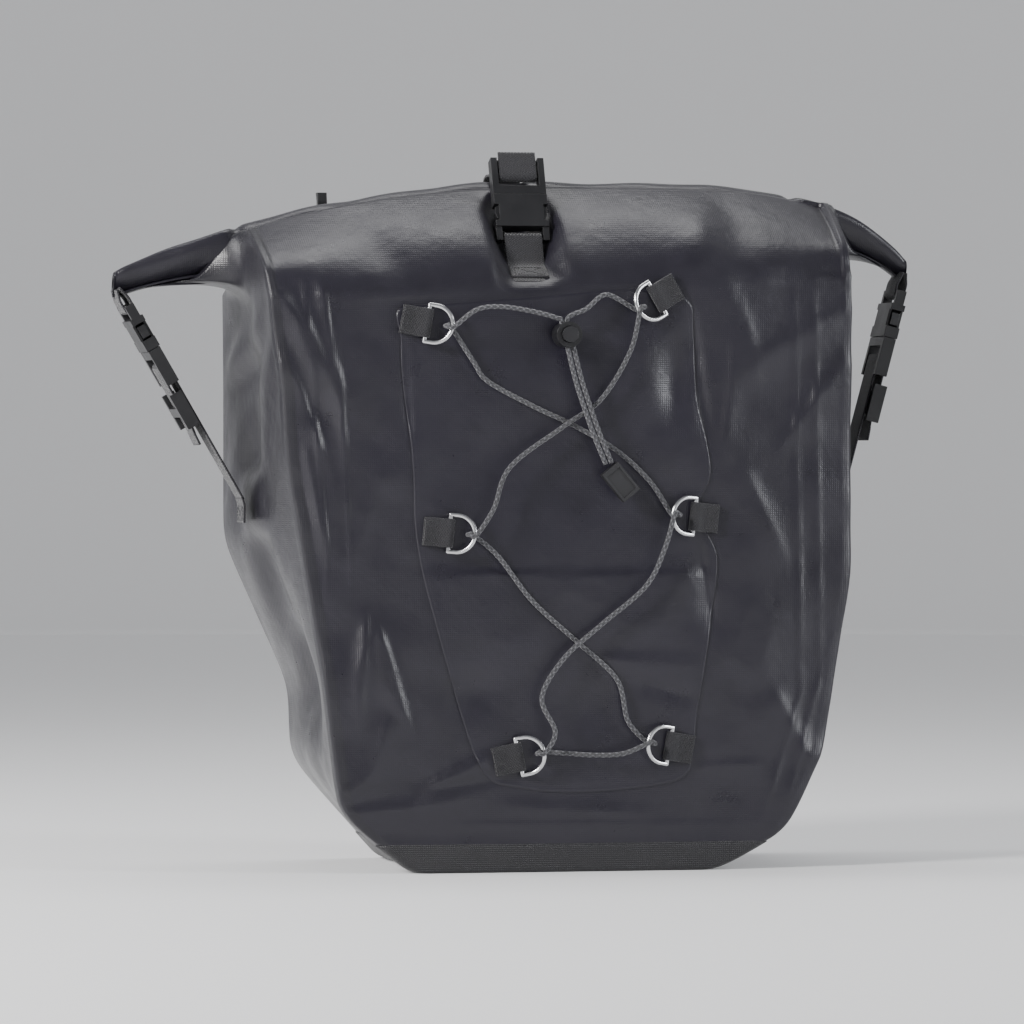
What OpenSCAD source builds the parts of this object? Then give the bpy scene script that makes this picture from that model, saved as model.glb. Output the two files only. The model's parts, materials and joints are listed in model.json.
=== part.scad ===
// Roll-top bicycle pannier bag, in millimetres.
// The bungee-laced front faces -Y, the rack hooks face +Y, and the base rests on z = 0.
// The origin is on the floor, under the middle of the rolled closure.

/* [Bag] */
// Width of the bag at its shoulders
bag_width = 376; // [366:1:384]
// Depth of the bag from its front face to its back face
bag_depth = 165; // [160:1:168]
// Height of the front panel, up to the seam of the collar
front_height = 360; // [352:1:364]
// Height of the stiff back panel
back_height = 388; // [386:1:390]
// Width of the flat base
base_width = 184; // [170:1:190]
// Thickness of the coated fabric walls
wall = 2.4; // [2:0.1:3]

/* [Roll] */
// Width of the rolled closure from ear tip to ear tip
roll_width = 514; // [506:1:520]
// Height of the roll over the body
roll_height = 36; // [34:1:38]
// Front-to-back thickness of the roll
roll_depth = 36; // [32:1:36]
// Height of the highest point of the roll
roll_top_z = 436; // [434:1:438]

/* [Webbing and buckles] */
// Width of the webbing straps
strap_width = 25; // [22:1:25]
// Thickness of the webbing
strap_thick = 1.5; // [1.2:0.1:1.6]
// Outer width of a side-release buckle
buckle_width = 34; // [33:1:36]

/* [Bungee] */
// Diameter of the elastic cord
cord_d = 3; // [2.6:0.1:3.2]
// Diameter of the wire of a D-ring
ring_wire = 3; // [2.6:0.1:3]
// Distance that a ring's bow reaches from its bar
ring_reach = 16; // [15:0.5:17]

/* [Rack hardware] */
// Length of the upper rail
rail_length = 300; // [290:1:304]
// Diameter of the rack tube that the bare hooks take
tube_d = 16.4; // [16.2:0.1:16.6]
// Diameter of the rack tube that the hooks take with their inserts
insert_tube_d = 10.2; // [10:0.2:12.2]
// Width of a hook along the tube
hook_width = 28; // [26:1:30]

/* [Hidden] */
$fn = 48;

// Bag body: places of its walls
body_x = 14;
left_x = body_x - bag_width / 2;
right_x = body_x + bag_width / 2;
front_y = -86;
back_y = front_y + bag_depth;
base_x = 20;
waist_x = -132;
waist_z = 112;
base_left = base_x - base_width / 2;
base_right = base_x + base_width / 2;
heel_x = -131;
heel_z = 66;
side_start_z = 205;
corner_x = 158;
corner_z = 22;
hip_x = 184;
hip_z = 75;
shoulder_z = 185;
arc_steps = 5;
arch_steps = 18;
base_edge_z = 40;

// Roll: its crest drops from the high point towards both ears
crest_x = 40;
left_drop = 60;
right_drop = 50;
left_power = 2.3;
right_power = 4.4;
ear_start_x = 180;
ear_tip_height = 20;
roll_y = -4;
seat_gap = 0.3;
mouth_y = roll_y + roll_depth / 2;
mouth_z = front_height + 4;
hem_thick = 2.5;
hem_gap = 0.3;

// Side-release buckle, along its own z from the female end to the male end
bar_r = 1.8;
female_bar_z = 2;
female_body_z = 9;
female_length = 31;
buckle_half = buckle_width / 2;
shell_half = 4.5;
cavity_half = 2.9;
cavity_y = buckle_half - 2.8;
window_low = 13;
window_high = 24;
male_start = female_length + 0.4;
male_base = 37;
male_bar_z = 44.75;
male_end_z = 54;
rail_half = 4;
prong_half = 2.6;
prong_root_y = 9.6;
prong_root_z = 29.4;
prong_root_r = 1.7;

// Strands of a strap that loops round a buckle bar
loop_r = bar_r + 0.3 + strap_thick / 2;

// Side chains: the ear end where each starts, and its lean towards the bag
chain_y = roll_y;
left_end_x = -251;
right_end_x = 252;
left_lean = 30;
right_lean = 15;
female_start = 5;
lock_start = 67;
lock_length = 24;
tail_length = 104;
anchor_leg = 14;

// Top closure: the lower end of its buckle, and how far it leans back
top_x = -4;
top_y = -50;
top_z = 393;
top_lean = 22;

// D-rings: the middle of each bar [x, z] and the turn that points its bow inwards
patch_thick = 1.2;
ring_y = front_y - patch_thick - 3.3;
ring_tilt = 20;
bar_half = 10;
tab_thick = 1.6;
tab_bore = ring_wire / 2 + 0.05;
tab_r = tab_bore + tab_thick;
tab_length = 16;
tab_width = 18;
tl_ring = [-73, 341, 10];
tr_ring = [73, 357, 150];
ml_ring = [-59, 211, 5];
mr_ring = [97, 221, 186];
bl_ring = [-15, 72, -12];
br_ring = [81, 78, 190];
RINGS = [tl_ring, tr_ring, ml_ring, mr_ring, bl_ring, br_ring];

// Cord lock and tail: place of the lock [x, z], direction of the tail and the strands in it
lock_x = 14;
lock_z = 334;
lock_y = -99;
tail_dir = [0.237, -0.972];
tail_side = [0.972, 0.237];
strand_gap = 3.7;
lock_r = 8;
lock_back = -89.5;
lock_front = -105;
button_r = 5;
button_back = -95.6;
button_front = -109.5;
button_travel = 3;
strand_hole = cord_d + 0.8;

// Route points of the bungee between the rings, [x, y, z]
turn_r = 4.4;
left_arc = [[8, -99, 344], [-7, -99, 348], [-28, -100, 351], [-44, -101, 349]];
tl_to_mr = [
    [-44, -92, 317], [-35, -92, 305], [-7, -92, 290], [21, -92, 277], [47, -92, 262], [68, -92, 243]
];
mr_to_bl = [[76, -100, 202], [64, -99, 178], [36, -97, 154], [12, -97, 133], [-2, -98, 109], [6, -100, 88]];
bl_to_br = [[16, -93, 74], [33, -96, 73], [50, -99, 74]];
br_to_ml = [[54, -92, 94], [47, -91, 120], [21, -91, 144], [-7, -92, 169], [-28, -92, 196]];
ml_to_tr = [[-33, -100, 226], [-22, -98, 252], [12, -96, 277], [36, -96, 294], [54, -99, 324]];
right_arc = [[44, -93, 358], [36, -96, 358], [26, -99, 350]];

// Route points of the tail, [x, z], from the lock down to the cord end
tail_run = [[21, 306], [27, 287], [33, 270], [40, 254]];
tail_y = [-99, -100, -101, -100];
end_turn = 40;
end_length = 22;
end_width = 13;
end_thick = 7;

// Rack hardware
rail_x = body_x;
rail_z = 366;
rail_height = 30;
rail_depth = 9;
rail_wall = 2.5;
rail_lip = 7;
rail_y = back_y + 0.1;
lower_z = 120;
lower_length = 130;
hook_spread = 238;
tube_y = back_y + 20;
tube_z = 404;
hook_skin = 4;
latch_slot = 10;
pin_y = back_y + 9.5;
pin_z = 407;
pin_r = 1.5;
latch_width = 6;
latch_shift = -1.8;
screw_r = 2.5;
screw_head_r = 4.4;
screw_head = 2.3;
screw_hole_r = 2.7;
board_thick = 3;
board_inset = 13;
board_y = back_y - wall - 0.1 - board_thick;
nut_r = 4.6;
nut_thick = 3.5;
handle_z = 331;
handle_half = 90;
handle_rise = 20;
foot_gap = 0.3;
claw_x = 34;
claw_r = 6.2;
claw_skin = 3.4;
swivel_r = 14;
swivel_bore = 4.1;
knob_r = 11;
UPPER_SCREWS = [rail_x - 141, rail_x, rail_x + 141];
LOWER_SCREWS = [base_x - 58, base_x + 58];
HANDLE_SCREWS = [rail_x - handle_half + 9, rail_x + handle_half - 9];

// ---- Plane geometry ----

function unit(v) = v / norm(v);

// Points of an arc of radius r that rounds corner b between a and c
function corner_arc(a, b, c, r) =
    let (
        u = unit(a - b),
        w = unit(c - b),
        half = acos(u * w) / 2,
        middle = b + unit(u + w) * r / sin(half),
        first = b + u * r / tan(half) - middle,
        last = b + w * r / tan(half) - middle,
        start = atan2(first[1], first[0]),
        raw = atan2(last[1], last[0]) - start,
        turn = raw > 180 ? raw - 360 : raw < -180 ? raw + 360 : raw
    )
    [for (i = [0:arc_steps]) let (a = start + turn * i / arc_steps) middle + r * [cos(a), sin(a)]];

// An open path with every inner corner rounded; radii has one value per inner corner
function rounded(points, radii) = [
    points[0],
    for (i = [1:len(points) - 2])
        for (p = corner_arc(points[i - 1], points[i], points[i + 1], radii[i - 1])) p,
    points[len(points) - 1]
];

// A closed counter-clockwise outline moved inwards by d
function inset(points, d) =
    let (n = len(points))
    [for (i = [0:n - 1])
        let (
            before = unit(points[i] - points[(i + n - 1) % n]),
            after = unit(points[(i + 1) % n] - points[i]),
            n1 = [-before[1], before[0]],
            n2 = [-after[1], after[0]]
        )
        points[i] + d * (n1 + n2) / (1 + n1 * n2)];

// Outline of a ribbon of thickness t along an open path
function ribbon_side(points, d) =
    let (last = len(points) - 1)
    [for (i = [0:last])
        let (
            before = unit(points[max(i, 1)] - points[max(i, 1) - 1]),
            after = unit(points[min(i, last - 1) + 1] - points[min(i, last - 1)]),
            n1 = [-before[1], before[0]],
            n2 = [-after[1], after[0]]
        )
        points[i] + d * (n1 + n2) / (1 + n1 * n2)];
function reversed(list) = [for (i = [len(list) - 1:-1:0]) list[i]];
function ribbon(points, t) = concat(ribbon_side(points, t / 2), reversed(ribbon_side(points, -t / 2)));

// Half circle of a strap round a bar at [0, z], over the side that "up" (1 or -1) names
function bar_loop(z, up) = [for (a = [0:22.5:180]) [loop_r * cos(a), z + up * loop_r * sin(a)]];

// ---- Placing ----

// Extrudes an x-z outline along +Y from y by depth
module slab(y, depth) {
    translate([0, y + depth, 0])
        rotate([90, 0, 0])
            linear_extrude(height = depth)
                children();
}

// Extrudes a y-z outline along +X from x by length
module bar_x(x, length) {
    translate([x, 0, 0])
        rotate([90, 0, 90])
            linear_extrude(height = length)
                children();
}

// A cylinder along Y that starts at y
module peg_y(x, y, z, r, length) {
    translate([x, y, z])
        rotate([-90, 0, 0])
            cylinder(r = r, h = length);
}

// A cylinder along X centred on x = 0
module peg_x(y, z, r, length) {
    translate([-length / 2, y, z])
        rotate([0, 90, 0])
            cylinder(r = r, h = length);
}

// A box from its lowest to its highest corner
module box(low, high) {
    translate(low)
        cube(high - low);
}

// ---- Swept tubes ----

function cross_unit(a, b) = unit(cross(a, b));
function tangent(path, i) = unit(path[min(i + 1, len(path) - 1)] - path[max(i - 1, 0)]);

// Sideways directions carried along a path without twist
function carried(path, i, previous) =
    i == len(path) ? [] :
    let (
        t = tangent(path, i),
        side = unit(previous - t * (previous * t))
    )
    concat([side], carried(path, i + 1, side));

module tube(path, d, sides) {
    first = cross_unit(tangent(path, 0), [0, 1, 0]);
    across = carried(path, 0, first);
    count = len(path);
    points = [
        for (i = [0:count - 1])
            for (k = [0:sides - 1])
                let (a = 360 * k / sides)
                path[i] + d / 2 * (cos(a) * across[i] + sin(a) * cross(tangent(path, i), across[i]))
    ];
    walls = [
        for (i = [0:count - 2])
            for (k = [0:sides - 1])
                let (n = (k + 1) % sides)
                [i * sides + k, i * sides + n, (i + 1) * sides + n, (i + 1) * sides + k]
    ];
    start_cap = [[for (k = [sides - 1:-1:0]) k]];
    end_cap = [[for (k = [0:sides - 1]) (count - 1) * sides + k]];
    faces = [for (f = concat(walls, start_cap, end_cap)) reversed(f)];
    polyhedron(points = points, faces = faces);
}

// ---- Bag body ----

// Height of the roll's crest at x
function crest(x) =
    x < crest_x
        ? roll_top_z - left_drop * pow((crest_x - x) / (crest_x + roll_width / 2), left_power)
        : roll_top_z - right_drop * pow((x - crest_x) / (roll_width / 2 - crest_x), right_power);

// Height of the roll at x, less over the ears
function roll_at(x) =
    let (over = max(0, abs(x) - ear_start_x) / (roll_width / 2 - ear_start_x))
    roll_height - (roll_height - ear_tip_height) * over;
function under_roll(x) = crest(x) - roll_at(x);

top_limit = back_height + 20;
body_outline = concat(
    rounded(
        [
            [left_x, top_limit], [left_x, side_start_z], [waist_x, waist_z], [heel_x, heel_z],
            [base_left, 0], [base_right, 0], [corner_x, corner_z], [hip_x, hip_z],
            [right_x, shoulder_z], [right_x, top_limit]
        ],
        [80, 50, 30, 14, 30, 40, 60, 120]
    )
);
inner_outline = inset(body_outline, wall);

module front_panel() {
    color("#3c3b44")
        slab(front_y, wall)
            intersection() {
                polygon(body_outline);
                translate([-400, 0]) square([800, front_height]);
            }
}

module back_panel() {
    color("#2f2e36")
        difference() {
            slab(back_y - wall, wall)
                intersection() {
                    polygon(body_outline);
                    translate([-400, 0]) square([800, back_height]);
                }
            screw_holes(back_y - wall - 1, wall + 2);
        }
}

// The strip between front and back panels, cut to one side and under the collar's seam
module gusset(region) {
    intersection() {
        slab(front_y + wall, bag_depth - 2 * wall)
            intersection() {
                difference() {
                    polygon(body_outline);
                    polygon(inner_outline);
                }
                polygon(region);
            }
        bar_x(-400, 800)
            polygon([
                [front_y, -1], [back_y, -1], [back_y, back_height], [mouth_y, mouth_z],
                [front_y, front_height]
            ]);
    }
}

module left_gusset() {
    color("#34333c")
        gusset([
            [left_x - 9, -1], [base_left, -1], [base_left, base_edge_z], [0, side_start_z],
            [0, top_limit - 1], [left_x - 9, top_limit - 1]
        ]);
}

module right_gusset() {
    color("#34333c")
        gusset([
            [right_x + 9, -1], [right_x + 9, top_limit - 1], [right_x - 60, top_limit - 1],
            [right_x - 60, side_start_z], [base_right, base_edge_z], [base_right, -1]
        ]);
}

module bottom_panel() {
    color("#2a2930")
        gusset([[base_left, -1], [base_right, -1], [base_right, base_edge_z], [base_left, base_edge_z]]);
}

// The collar closes the box up to the roll: a lofted wall from the panel tops to the roll's underside
function spread(a, b, i) = a + (b - a) * i / arch_steps;
function collar_z(x, low, top) = top ? under_roll(x) - seat_gap : low;
function collar_loop(x0, x1, y0, ym, y1, top) = concat(
    [for (i = [0:arch_steps]) let (x = spread(x0, x1, i)) [x, y0, collar_z(x, front_height, top)]],
    [[x1, ym, collar_z(x1, mouth_z, top)]],
    [for (i = [0:arch_steps]) let (x = spread(x1, x0, i)) [x, y1, collar_z(x, back_height, top)]],
    [[x0, ym, collar_z(x0, mouth_z, top)]]
);

module collar() {
    roll_front = roll_y - roll_depth / 2;
    outer_low = collar_loop(left_x, right_x, front_y, mouth_y, back_y, false);
    outer_high = collar_loop(left_x, right_x, roll_front, roll_y, mouth_y, true);
    inner_low = collar_loop(
        left_x + wall, right_x - wall, front_y + wall, mouth_y, back_y - wall, false
    );
    inner_high = collar_loop(
        left_x + wall, right_x - wall, roll_front + wall, roll_y, mouth_y - wall, true
    );
    n = len(outer_low);
    points = concat(outer_low, outer_high, inner_high, inner_low);
    faces = [
        for (ring = [0:3])
            for (i = [0:n - 1])
                let (j = (i + 1) % n, next = (ring + 1) % 4)
                [ring * n + i, next * n + i, next * n + j, ring * n + j]
    ];
    color("#3c3b44")
        polyhedron(points = points, faces = faces);
}

// Outline of a band that follows the roll, from "low" to "high" as shares of its height
function roll_band(half, low, high, margin) =
    let (xs = [for (i = [-arch_steps:arch_steps]) half * i / arch_steps])
    concat(
        [for (x = xs) [x, under_roll(x) + roll_at(x) * low - margin]],
        [for (x = reversed(xs)) [x, under_roll(x) + roll_at(x) * high + margin]]
    );

module roll_top() {
    color("#3f3e47")
        difference() {
            slab(roll_y - roll_depth / 2, roll_depth)
                polygon(roll_band(roll_width / 2, 0, 1, 0));
            slab(roll_y - hem_thick / 2 - hem_gap, hem_thick + 2 * hem_gap)
                polygon(roll_band(roll_width / 2 + 1, 0.25, 0.75, hem_gap));
        }
}

module roll_stiffener() {
    color("#55555c")
        slab(roll_y - hem_thick / 2, hem_thick)
            polygon(roll_band(roll_width / 2 - 6, 0.25, 0.75, 0));
}

module bungee_patch() {
    color("#403f49")
        slab(front_y - patch_thick, patch_thick)
            polygon(rounded(
                [
                    [0, 366], [-92, 352], [-80, 230], [-78, 200], [-34, 60], [20, 48],
                    [98, 62], [118, 220], [94, 368], [0, 366]
                ],
                [12, 60, 30, 20, 60, 20, 60, 12]
            ));
}

module back_board() {
    color("#202024")
        difference() {
            slab(board_y, board_thick)
                intersection() {
                    polygon(inset(body_outline, board_inset));
                    translate([-400, 0]) square([800, back_height - 4]);
                }
            screw_holes(board_y - 1, board_thick + 2);
        }
}

// ---- D-rings and bungee ----

// Places children at a ring's bar, with the bow along local +X
module at_ring(ring) {
    translate([ring[0], ring_y, ring[1]])
        rotate([0, ring[2], 0])
            children();
}

module d_ring(ring) {
    r = ring_wire / 2;
    bow_r = bar_half + r;
    stub = ring_reach - bow_r;
    color("#b9bcc0")
        at_ring(ring) rotate([0, 0, -ring_tilt]) {
            translate([0, 0, -bow_r]) cylinder(r = r, h = 2 * bow_r);
            for (end = [-1, 1]) {
                translate([0, 0, end * bow_r]) sphere(r = r);
                translate([0, 0, end * bow_r]) rotate([0, 90, 0]) cylinder(r = r, h = stub);
            }
            translate([stub, 0, 0])
                rotate([90, 0, 0])
                    rotate([0, 0, -90])
                        rotate_extrude(angle = 180) translate([bow_r, 0]) circle(r = r);
        }
}

module ring_top_left() { d_ring(tl_ring); }
module ring_top_right() { d_ring(tr_ring); }
module ring_middle_left() { d_ring(ml_ring); }
module ring_middle_right() { d_ring(mr_ring); }
module ring_bottom_left() { d_ring(bl_ring); }
module ring_bottom_right() { d_ring(br_ring); }

// Webbing tabs that hold the rings' bars
module ring_tabs() {
    color("#29292e")
        for (ring = RINGS)
            at_ring(ring)
                difference() {
                    union() {
                        translate([0, 0, -tab_width / 2]) cylinder(r = tab_r, h = tab_width);
                        box([-tab_length, tab_bore, -tab_width / 2], [0, tab_r, tab_width / 2]);
                    }
                    translate([0, 0, -tab_width]) cylinder(r = tab_bore, h = 2 * tab_width);
                }
}

// Middle of a ring's bow wire
function bow(ring) = [
    ring[0] + ring_reach * cos(ring_tilt) * cos(ring[2]),
    ring_y - ring_reach * sin(ring_tilt),
    ring[1] - ring_reach * cos(ring_tilt) * sin(ring[2])
];

// Half turn of the cord round a bow, through the ring's eye; from is -1 for front first, 1 for back first
function ring_turn(ring, from) = [
    for (a = [0:45:180])
        bow(ring) + turn_r * [-sin(a) * cos(ring[2]), from * cos(a), sin(a) * sin(ring[2])]
];

// A point of a strand in the lock, at distance s along the tail, on the left (-1) or right (1)
function strand(s, side) = [
    lock_x + tail_dir[0] * s + tail_side[0] * side * strand_gap / 2,
    lock_y,
    lock_z + tail_dir[1] * s + tail_side[1] * side * strand_gap / 2
];

bungee_route = concat(
    [strand(lock_r, -1), strand(-lock_r - 1, -1)],
    left_arc,
    ring_turn(tl_ring, -1),
    tl_to_mr,
    ring_turn(mr_ring, 1),
    mr_to_bl,
    ring_turn(bl_ring, -1),
    bl_to_br,
    ring_turn(br_ring, -1),
    br_to_ml,
    ring_turn(ml_ring, 1),
    ml_to_tr,
    ring_turn(tr_ring, -1),
    right_arc,
    [strand(-lock_r - 1, 1), strand(lock_r, 1)]
);

module bungee_cord() {
    color("#4a4a52")
        tube(bungee_route, cord_d, 8);
}

// One strand of the tail, from the lock to the cord end
function tail_route(side) = concat(
    [strand(lock_r, side)],
    [for (i = [0:len(tail_run) - 1])
        [tail_run[i][0] + side * strand_gap / 2, tail_y[i], tail_run[i][1] + side * 0.4]]
);

module tail_cord_left() { color("#4a4a52") tube(tail_route(-1), cord_d, 8); }
module tail_cord_right() { color("#4a4a52") tube(tail_route(1), cord_d, 8); }

module cord_end() {
    last = len(tail_run) - 1;
    color("#1d1d20")
        translate([tail_run[last][0], tail_y[last], tail_run[last][1] - cord_d])
            rotate([0, -end_turn, 0])
                difference() {
                    box([-end_width / 2, -end_thick / 2, -end_length], [end_width / 2, end_thick / 2, 0]);
                    box(
                        [-end_width / 2 + 1.5, -end_thick, -end_length + 2],
                        [end_width / 2 - 1.5, -end_thick / 2 + 0.8, -3]
                    );
                }
}

// The slot that two strands run through, along the tail's direction
module strand_slot() {
    translate([lock_x, lock_y, lock_z])
        rotate([0, -atan2(tail_side[1], tail_side[0]), 0]) {
            for (side = [-1, 1])
                translate([side * strand_gap / 2, 0, -lock_r * 2])
                    cylinder(r = strand_hole / 2, h = lock_r * 4);
            box(
                [-strand_gap / 2, -strand_hole / 2, -lock_r * 2],
                [strand_gap / 2, strand_hole / 2, lock_r * 2]
            );
        }
}

module cord_lock_body() {
    color("#18181a")
        difference() {
            peg_y(lock_x, lock_front, lock_z, lock_r, lock_back - lock_front);
            peg_y(lock_x, lock_front - 1, lock_z, button_r + 0.2, lock_back - lock_front - 0.5);
            strand_slot();
        }
}

module cord_lock_button() {
    slot_half = strand_gap / 2 + strand_hole / 2;
    turn = atan2(tail_side[1], tail_side[0]);
    color("#242427")
        difference() {
            peg_y(lock_x, button_front, lock_z, button_r, button_back - button_front);
            translate([lock_x, lock_y, lock_z])
                rotate([0, -turn, 0])
                    box(
                        [-slot_half, -strand_hole / 2 - button_travel, -lock_r],
                        [slot_half, strand_hole / 2, lock_r]
                    );
        }
}

// The spring at its pressed length, on the floor of the lock's bore
module cord_lock_spring() {
    spring_y = button_back + button_travel + 0.1;
    color("#b9bcc0")
        difference() {
            peg_y(lock_x, spring_y, lock_z, 4.2, lock_back - spring_y - 1.7);
            peg_y(lock_x, spring_y - 1, lock_z, 3.2, 9);
        }
}

// ---- Side-release buckle, from the female end at z = 0 ----

module buckle_female() {
    color("#1b1b1e")
        difference() {
            union() {
                box([-shell_half, -buckle_half, female_body_z], [shell_half, buckle_half, female_length]);
                for (side = [-1, 1])
                    translate([0, side * (buckle_half - 2), 0])
                        box([-3, -2, 0], [3, 2, female_body_z + 1]);
                translate([0, -buckle_half + 2, female_bar_z])
                    rotate([-90, 0, 0]) cylinder(r = bar_r, h = buckle_width - 4);
            }
            box([-cavity_half, -cavity_y, female_body_z + 2], [cavity_half, cavity_y, female_length + 1]);
            for (side = [-1, 1])
                translate([0, side * (cavity_y + 5), 0])
                    box([-shell_half - 1, -5, window_low], [shell_half + 1, 5, window_high]);
        }
}

module buckle_male() {
    color("#1b1b1e")
        union() {
            box([-rail_half, -buckle_half, male_start], [rail_half, buckle_half, male_base]);
            for (side = [-1, 1])
                translate([0, side * (buckle_half - 2), 0])
                    box([-rail_half, -2, male_start], [rail_half, 2, male_end_z + 2]);
            for (z = [male_bar_z, male_end_z])
                translate([0, -buckle_half + 2, z])
                    rotate([-90, 0, 0]) cylinder(r = bar_r, h = buckle_width - 4);
            box([-prong_half, -3, female_body_z + 5], [prong_half, 3, male_base]);
        }
}

// One prong of the male half, on the +Y side for side = 1
module prong(side) {
    color("#26262a")
        translate([-prong_half, 0, 0])
            rotate([90, 0, 90])
                linear_extrude(height = 2 * prong_half)
                    union() {
                        translate([side * prong_root_y, prong_root_z]) circle(r = prong_root_r);
                        polygon([
                            for (p = [
                                [8.1, 29.4], [11.1, 29.4], [12, 24.6], [buckle_half - 0.8, 22.6],
                                [buckle_half - 0.4, 18.8], [buckle_half - 1.4, 14.8], [12.6, 13.8],
                                [10.5, 16], [8.6, 26]
                            ]) [side * p[0], p[1]]
                        ]);
                    }
}

// ---- Top closure ----

module at_top() {
    translate([top_x, top_y, top_z])
        rotate([-top_lean, 0, 0])
            rotate([0, 0, -90])
                children();
}

// World [y, z] of a point t out of the buckle's plane and l along it
function top_point(t, l) = [
    top_y + l * sin(top_lean) - t * cos(top_lean),
    top_z + l * cos(top_lean) + t * sin(top_lean)
];

module top_buckle_female() { at_top() buckle_female(); }
module top_buckle_male() { at_top() buckle_male(); }
module top_prong_left() { at_top() prong(-1); }
module top_prong_right() { at_top() prong(1); }

// Slope of the collar at the middle: a point q down from the roll and o above the cloth
slope_top = [roll_y - roll_depth / 2, roll_top_z - roll_height - 0.5];
slope_down = unit([front_y, front_height] - slope_top);
slope_out = [slope_down[1], -slope_down[0]];
function on_slope(q, o) = slope_top + q * slope_down + o * slope_out;

module webbing_x(points) {
    bar_x(top_x - strap_width / 2 + 0.5, strap_width - 1)
        polygon(ribbon(points, strap_thick));
}

module top_anchor_strap() {
    color("#222226")
        webbing_x(concat(
            [on_slope(64, 1.2), on_slope(36, 1.2)],
            [for (p = reversed(bar_loop(female_bar_z, 1))) top_point(p[0], p[1])],
            [on_slope(42, 3.1), on_slope(60, 3.1)]
        ));
}

module top_strap() {
    crest_z = crest(top_x) + 1.3;
    behind_y = roll_y + roll_depth / 2 + 1.3;
    color("#222226")
        webbing_x(concat(
            [top_point(loop_r, 53)],
            [for (p = bar_loop(male_bar_z, -1)) top_point(p[0], p[1])],
            [
                top_point(-loop_r, male_end_z), [roll_y - 14, crest_z + 1.5], [roll_y - 6, crest_z],
                [behind_y, crest_z], [behind_y, crest_z - roll_height + 4],
                [behind_y + 5, crest_z - roll_height], [back_y - 10, back_height + 3]
            ]
        ));
}

// ---- Side chains, along local -Z from an ear's end ----

module at_chain(side) {
    if (side > 0)
        translate([right_end_x, chain_y, under_roll(right_end_x) - 0.5])
            rotate([0, right_lean, 0])
                children();
    else
        translate([left_end_x, chain_y, under_roll(left_end_x) - 0.5])
            mirror([1, 0, 0])
                rotate([0, left_lean, 0])
                    children();
}

module at_chain_buckle(side) {
    at_chain(side)
        translate([0, 0, -female_start])
            rotate([180, 0, 0])
                children();
}

// Webbing whose path [t, s] runs out of the chain's plane and down the chain
module chain_webbing(side, points) {
    at_chain(side)
        translate([0, strap_width / 2 - 0.5, 0])
            rotate([90, 0, 0])
                linear_extrude(height = strap_width - 1)
                    polygon([for (p = ribbon(points, strap_thick)) [p[0], -p[1]]]);
}

module ear_tab(side) {
    color("#222226")
        chain_webbing(side, concat(
            [[-loop_r, 0.6]],
            [for (p = reversed(bar_loop(female_start + female_bar_z, 1))) p],
            [[loop_r, 0.6]]
        ));
}

module ladder_lock(side) {
    outer_t = loop_r + strap_thick / 2 + 0.3;
    color("#1b1b1e")
        at_chain(side)
            translate([0, 0, -lock_start - lock_length])
                union() {
                    for (edge = [-1, 1])
                        translate([0, edge * (buckle_half - 2), 0])
                            box([-2, -2, 0], [outer_t + 2.4, 2, lock_length]);
                    for (z = [5, 19])
                        translate([0, -buckle_half + 2, z])
                            rotate([-90, 0, 0]) cylinder(r = bar_r, h = buckle_width - 4);
                    box([outer_t, -buckle_half + 1, 9], [outer_t + 2.4, buckle_half - 1, 15]);
                }
}

// The strap from the gusset, through the ladder lock, round the male bar and back to its free tail
module side_strap(side) {
    end_x = side > 0 ? right_end_x : -left_end_x;
    wall_x = side > 0 ? right_x : -left_x;
    lean = side > 0 ? right_lean : left_lean;
    reach = (end_x - wall_x - strap_thick / 2 - 0.1 - loop_r * cos(lean)) / sin(lean);
    color("#222226")
        chain_webbing(side, concat(
            [[loop_r, tail_length]],
            bar_loop(female_start + male_bar_z, -1),
            [[-loop_r, reach], [-loop_r + anchor_leg * sin(lean), reach + anchor_leg * cos(lean)]]
        ));
}

module left_ear_tab() { ear_tab(-1); }
module left_buckle_female() { at_chain_buckle(-1) buckle_female(); }
module left_buckle_male() { at_chain_buckle(-1) buckle_male(); }
module left_prong_front() { at_chain_buckle(-1) prong(1); }
module left_prong_back() { at_chain_buckle(-1) prong(-1); }
module left_ladder_lock() { ladder_lock(-1); }
module left_side_strap() { side_strap(-1); }
module right_ear_tab() { ear_tab(1); }
module right_buckle_female() { at_chain_buckle(1) buckle_female(); }
module right_buckle_male() { at_chain_buckle(1) buckle_male(); }
module right_prong_front() { at_chain_buckle(1) prong(1); }
module right_prong_back() { at_chain_buckle(1) prong(-1); }
module right_ladder_lock() { ladder_lock(1); }
module right_side_strap() { side_strap(1); }

// ---- Rack hardware ----

// Holes for every screw through the back, from y by depth
module screw_holes(y, depth) {
    for (x = UPPER_SCREWS) peg_y(x, y, rail_z, screw_hole_r, depth);
    for (x = LOWER_SCREWS) peg_y(x, y, lower_z, screw_hole_r, depth);
    for (x = HANDLE_SCREWS) peg_y(x, y, handle_z, screw_hole_r, depth);
}

// C-shaped channel, open towards +Y between two lips
module channel(x, z, length) {
    half = rail_height / 2;
    y = rail_y;
    bar_x(x - length / 2, length)
        polygon([
            [y, z - half], [y + rail_depth, z - half], [y + rail_depth, z - half + rail_lip],
            [y + rail_depth - rail_wall, z - half + rail_lip],
            [y + rail_depth - rail_wall, z - half + rail_wall], [y + rail_wall, z - half + rail_wall],
            [y + rail_wall, z + half - rail_wall], [y + rail_depth - rail_wall, z + half - rail_wall],
            [y + rail_depth - rail_wall, z + half - rail_lip], [y + rail_depth, z + half - rail_lip],
            [y + rail_depth, z + half], [y, z + half]
        ]);
}

module upper_rail() {
    color("#26262a")
        difference() {
            channel(rail_x, rail_z, rail_length);
            screw_holes(rail_y - 1, rail_wall + 2);
        }
}

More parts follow.
